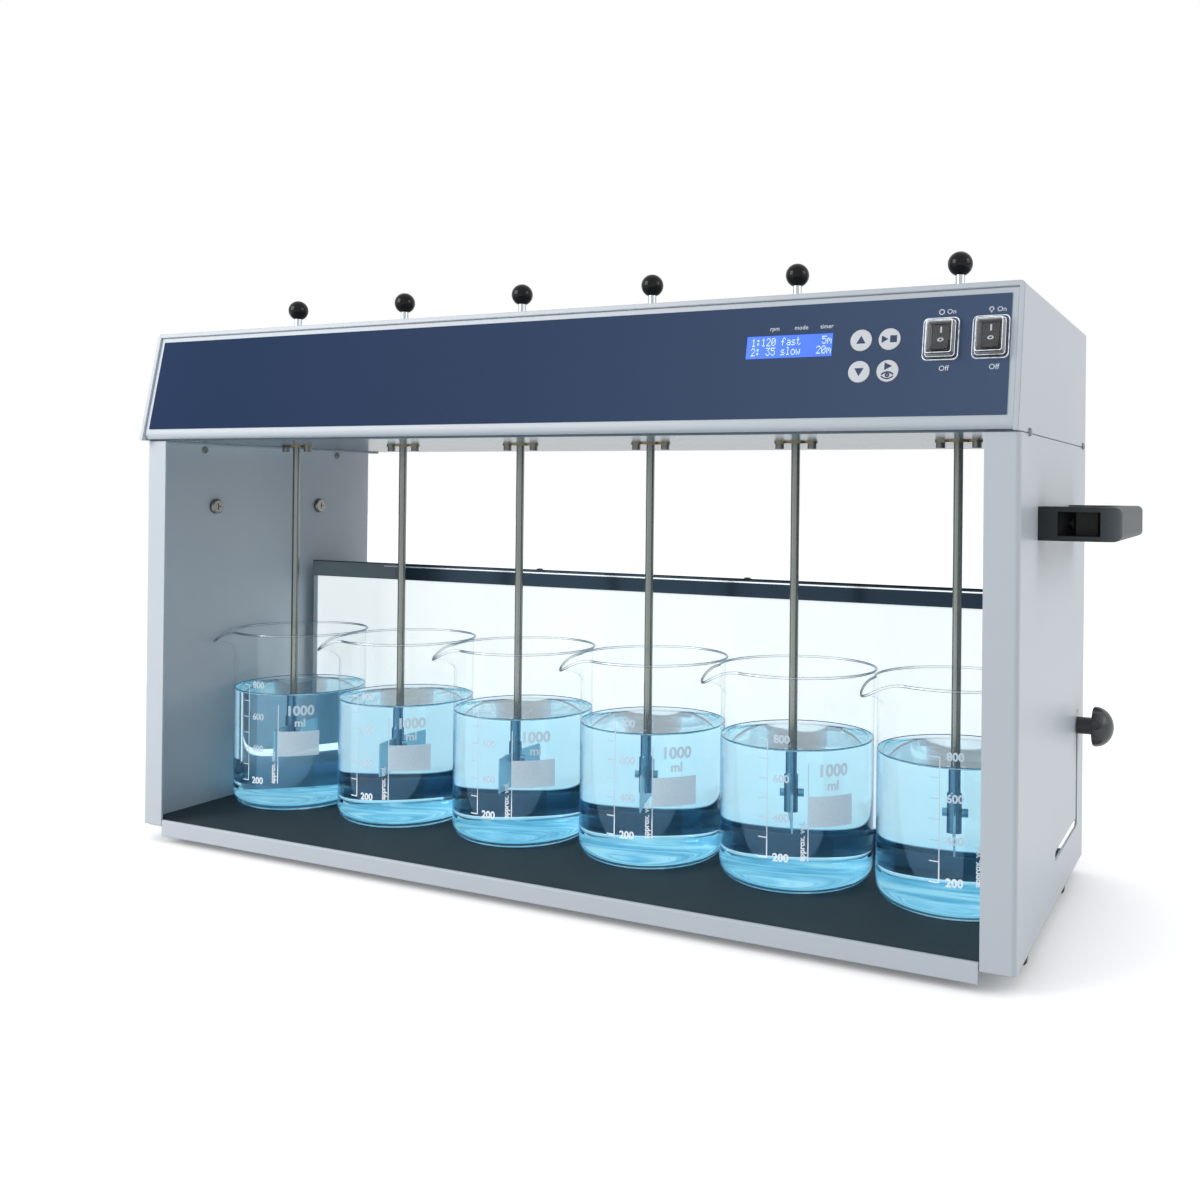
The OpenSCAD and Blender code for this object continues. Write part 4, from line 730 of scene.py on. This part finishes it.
# The rim bead is painted dark blue-grey along its outline: painted shade.
rim_glass, shader, start = finish("jar_rim", rgb(150, 168, 180), Roughness=0.06, Metallic=0.9)
graze = start.node("LayerWeight", out=1, Blend=0.5)
side = ((graze - 0.14) * 2.4).clamped()
link((side * 0.62 + 0.06).clamped(), shader["Alpha"])
link(side.mixed(rgb(240, 245, 248), rgb(92, 122, 144)), shader["Base Color"])

water, shader, start = finish("jar_water", rgb(250, 253, 255), Roughness=0.0, IOR=1.345, Transmission_Weight=1.0)
ripple = noise(start, 22.0, Detail=1.0)
link(bump(ripple, 0.00008), shader["Normal"])
height = start.node("SeparateXYZ", out=2, i0=start.node("TexCoord", out=3))
# The water's tint deepens towards its bottom: painted shade.
low = ((jar_foot + 0.034 - height) * (1 / 0.016)).clamped()
link(low.mixed(rgb(250, 253, 255), rgb(186, 228, 249)), shader["Base Color"])
water_out = water.node_tree.nodes["Material Output"].inputs["Volume"]
link(start.node("VolumeAbsorption", Color=(0.05, 0.83, 0.985, 1), Density=4.2), water_out)

# The foot piece glows in streaks: painted light, where the lit panel's light would gather in the beaker's thick
# glass base.
foot_glow, shader, start = finish("jar_foot_glass", rgb(150, 220, 245), Roughness=0.4, Emission_Strength=0.6)
streak = start.node("TexNoise", Vector=start.node("Mapping", Vector=start.node("TexCoord", out=3),
                                                  Scale=(16.0, 70.0, 70.0)), Scale=1.0, Detail=2.0, Distortion=1.5)
streak = ((streak - 0.38) * 4.0).clamped()
caught = streak.mixed(rgb(138, 214, 240), rgb(218, 246, 252))
link(caught, shader["Base Color"])
link(caught, shader["Emission Color"])
link((streak * 0.35 + 0.55).clamped(), shader["Alpha"])

# A dark blue ring round the water's edge: painted shade along the waterline.
painted_waterline_shade, shader, start = finish("waterline_painted_shade", rgb(38, 104, 158), Roughness=0.1, Metallic=0.0)
graze = start.node("LayerWeight", out=1, Blend=0.5)
link((graze * 0.2 + 0.66).clamped(), shader["Alpha"])
link(graze.mixed(rgb(22, 78, 140), rgb(48, 120, 184)), shader["Base Color"])

# The enamel glows a little, painted light, and is paler towards its bottom: more painted light.
scale_ink, shader, start = finish("scale_print", rgb(240, 244, 246), Roughness=0.6, Emission_Strength=0.5)
grain = noise(start, 700.0, Detail=2.0)
link((grain * 0.06 + 0.88).clamped(), shader["Alpha"])
height = start.node("SeparateXYZ", out=2, i0=start.node("TexCoord", out=3))
low = ((jar_foot + 0.040 - height) * (1 / 0.006)).clamped()
enamel_painted_glow = grain.mixed(low.mixed(rgb(176, 194, 206), rgb(232, 241, 247)),
                     low.mixed(rgb(186, 203, 215), rgb(238, 245, 250)))
link(enamel_painted_glow, shader["Base Color"])
link(enamel_painted_glow, shader["Emission Color"])

scale_headings = [265.4, 265.2, 265.6, 268.2, 269.6, 270.9]
ml_pitch, ml_200, print_weight, half_line = 0.01267, 0.0250, 0.05, 0.0004
text_r = jar_r + 0.0002
second = math.radians(29.3) * text_r
marks = [bar(-half_line, ml_200, half_line, ml_200 + 6 * ml_pitch)]
marks += [bar(-0.0062, ml_200 + t * ml_pitch - half_line, 0, ml_200 + t * ml_pitch + half_line) for t in range(7)]
marks += [letters(str(200 + 200 * t), 0.0040, ml_200 + 2 * t * ml_pitch - 0.0018, 0.0051, weight=print_weight)
          for t in range(4)]
marks += [bar(second - half_line, 0.024, second + half_line, 0.0865),
          letters("approx. vol.", second - 0.0022, 0.0240, 0.0038, turned=True, weight=print_weight),
          letters("1000", second + 0.0168, 0.0780, 0.0078, "CENTER", weight=print_weight),
          letters("ml", second + 0.0168, 0.0690, 0.0062, "CENTER", weight=print_weight),
          bar(second, 0.0455, second + 0.0318, 0.0652)]

# The water's skin rises at the wall. Its floor and the painted light in the foot are flat domes in the middle.
bead, brim, base, inset, foot_rows = 0.0009, 0.0003, 0.0003, 0.0004, 5
beads = np.radians(np.linspace(0, 360, 10, endpoint=False))
rim_r, rim_z, water_r = wall_r[:, -1:], wall_z[:, -1:], jar_r - inset
middle_r, middle_z = [0, 0.012, 0.024, 0.034], np.array([0.0007, 0.0006, 0.0004, 0.0001])
body_r = np.concatenate([middle_r, water_r - jar_corner + jar_corner * np.cos(corner),
                         [water_r, water_r, water_r, water_r, water_r - 0.0002, water_r - 0.0007,
                          water_r - 0.0015, water_r - 0.003, water_r - 0.005, 0.03, 0]])
body_z = np.concatenate([base + middle_z, base + foot_z,
                         [0.013, 0.05, water_level + 0.0012, water_level + 0.0019, water_level + 0.0018,
                          water_level + 0.0011, water_level + 0.0005, water_level + 0.0001, water_level,
                          water_level, water_level]])
floor_r = np.concatenate([middle_r, (foot_r - inset)[:foot_rows]])
floor_z = np.concatenate([base + inset + middle_z, (base + inset + foot_z)[:foot_rows]])
for k, x in enumerate(jar_x):
    n, turn0 = k + 1, math.radians(scale_headings[k])
    grid("jar_%d" % n, [jar_points(x, skin_r, skin_z)], jar_glass, "root")
    grid("jar_rim_%d" % n, [jar_points(x, rim_r - bead * 0.9 + bead * np.cos(beads),
                                       rim_z - bead + bead * np.sin(beads))],
         rim_glass, "root", round_v=True)
    grid("jar_water_%d" % n, [turned_points(x, body_r, body_z)], water, "root")
    grid("jar_foot_%d" % n, [turned_points(x, floor_r, floor_z)], foot_glow, "root")
    grid("jar_brim_%d" % n, [turned_points(x, water_r - brim + brim * np.cos(beads),
                                           water_level + 0.0016 + brim * np.sin(beads))],
         painted_waterline_shade, "root", round_v=True)

    def round_jar(flat, x=x, turn0=turn0):
        """Print bent round the jar at x: the turn is turn0 plus the flat length over the radius."""
        turn = turn0 + flat[:, 0] / text_r
        return np.stack([x + text_r * np.cos(turn), jar_y + text_r * np.sin(turn), jar_foot + flat[:, 1]], 1)

    printed("jar_scale_%d" % n, marks, round_jar, scale_ink, "root", weave=0.002)
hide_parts("beakers")
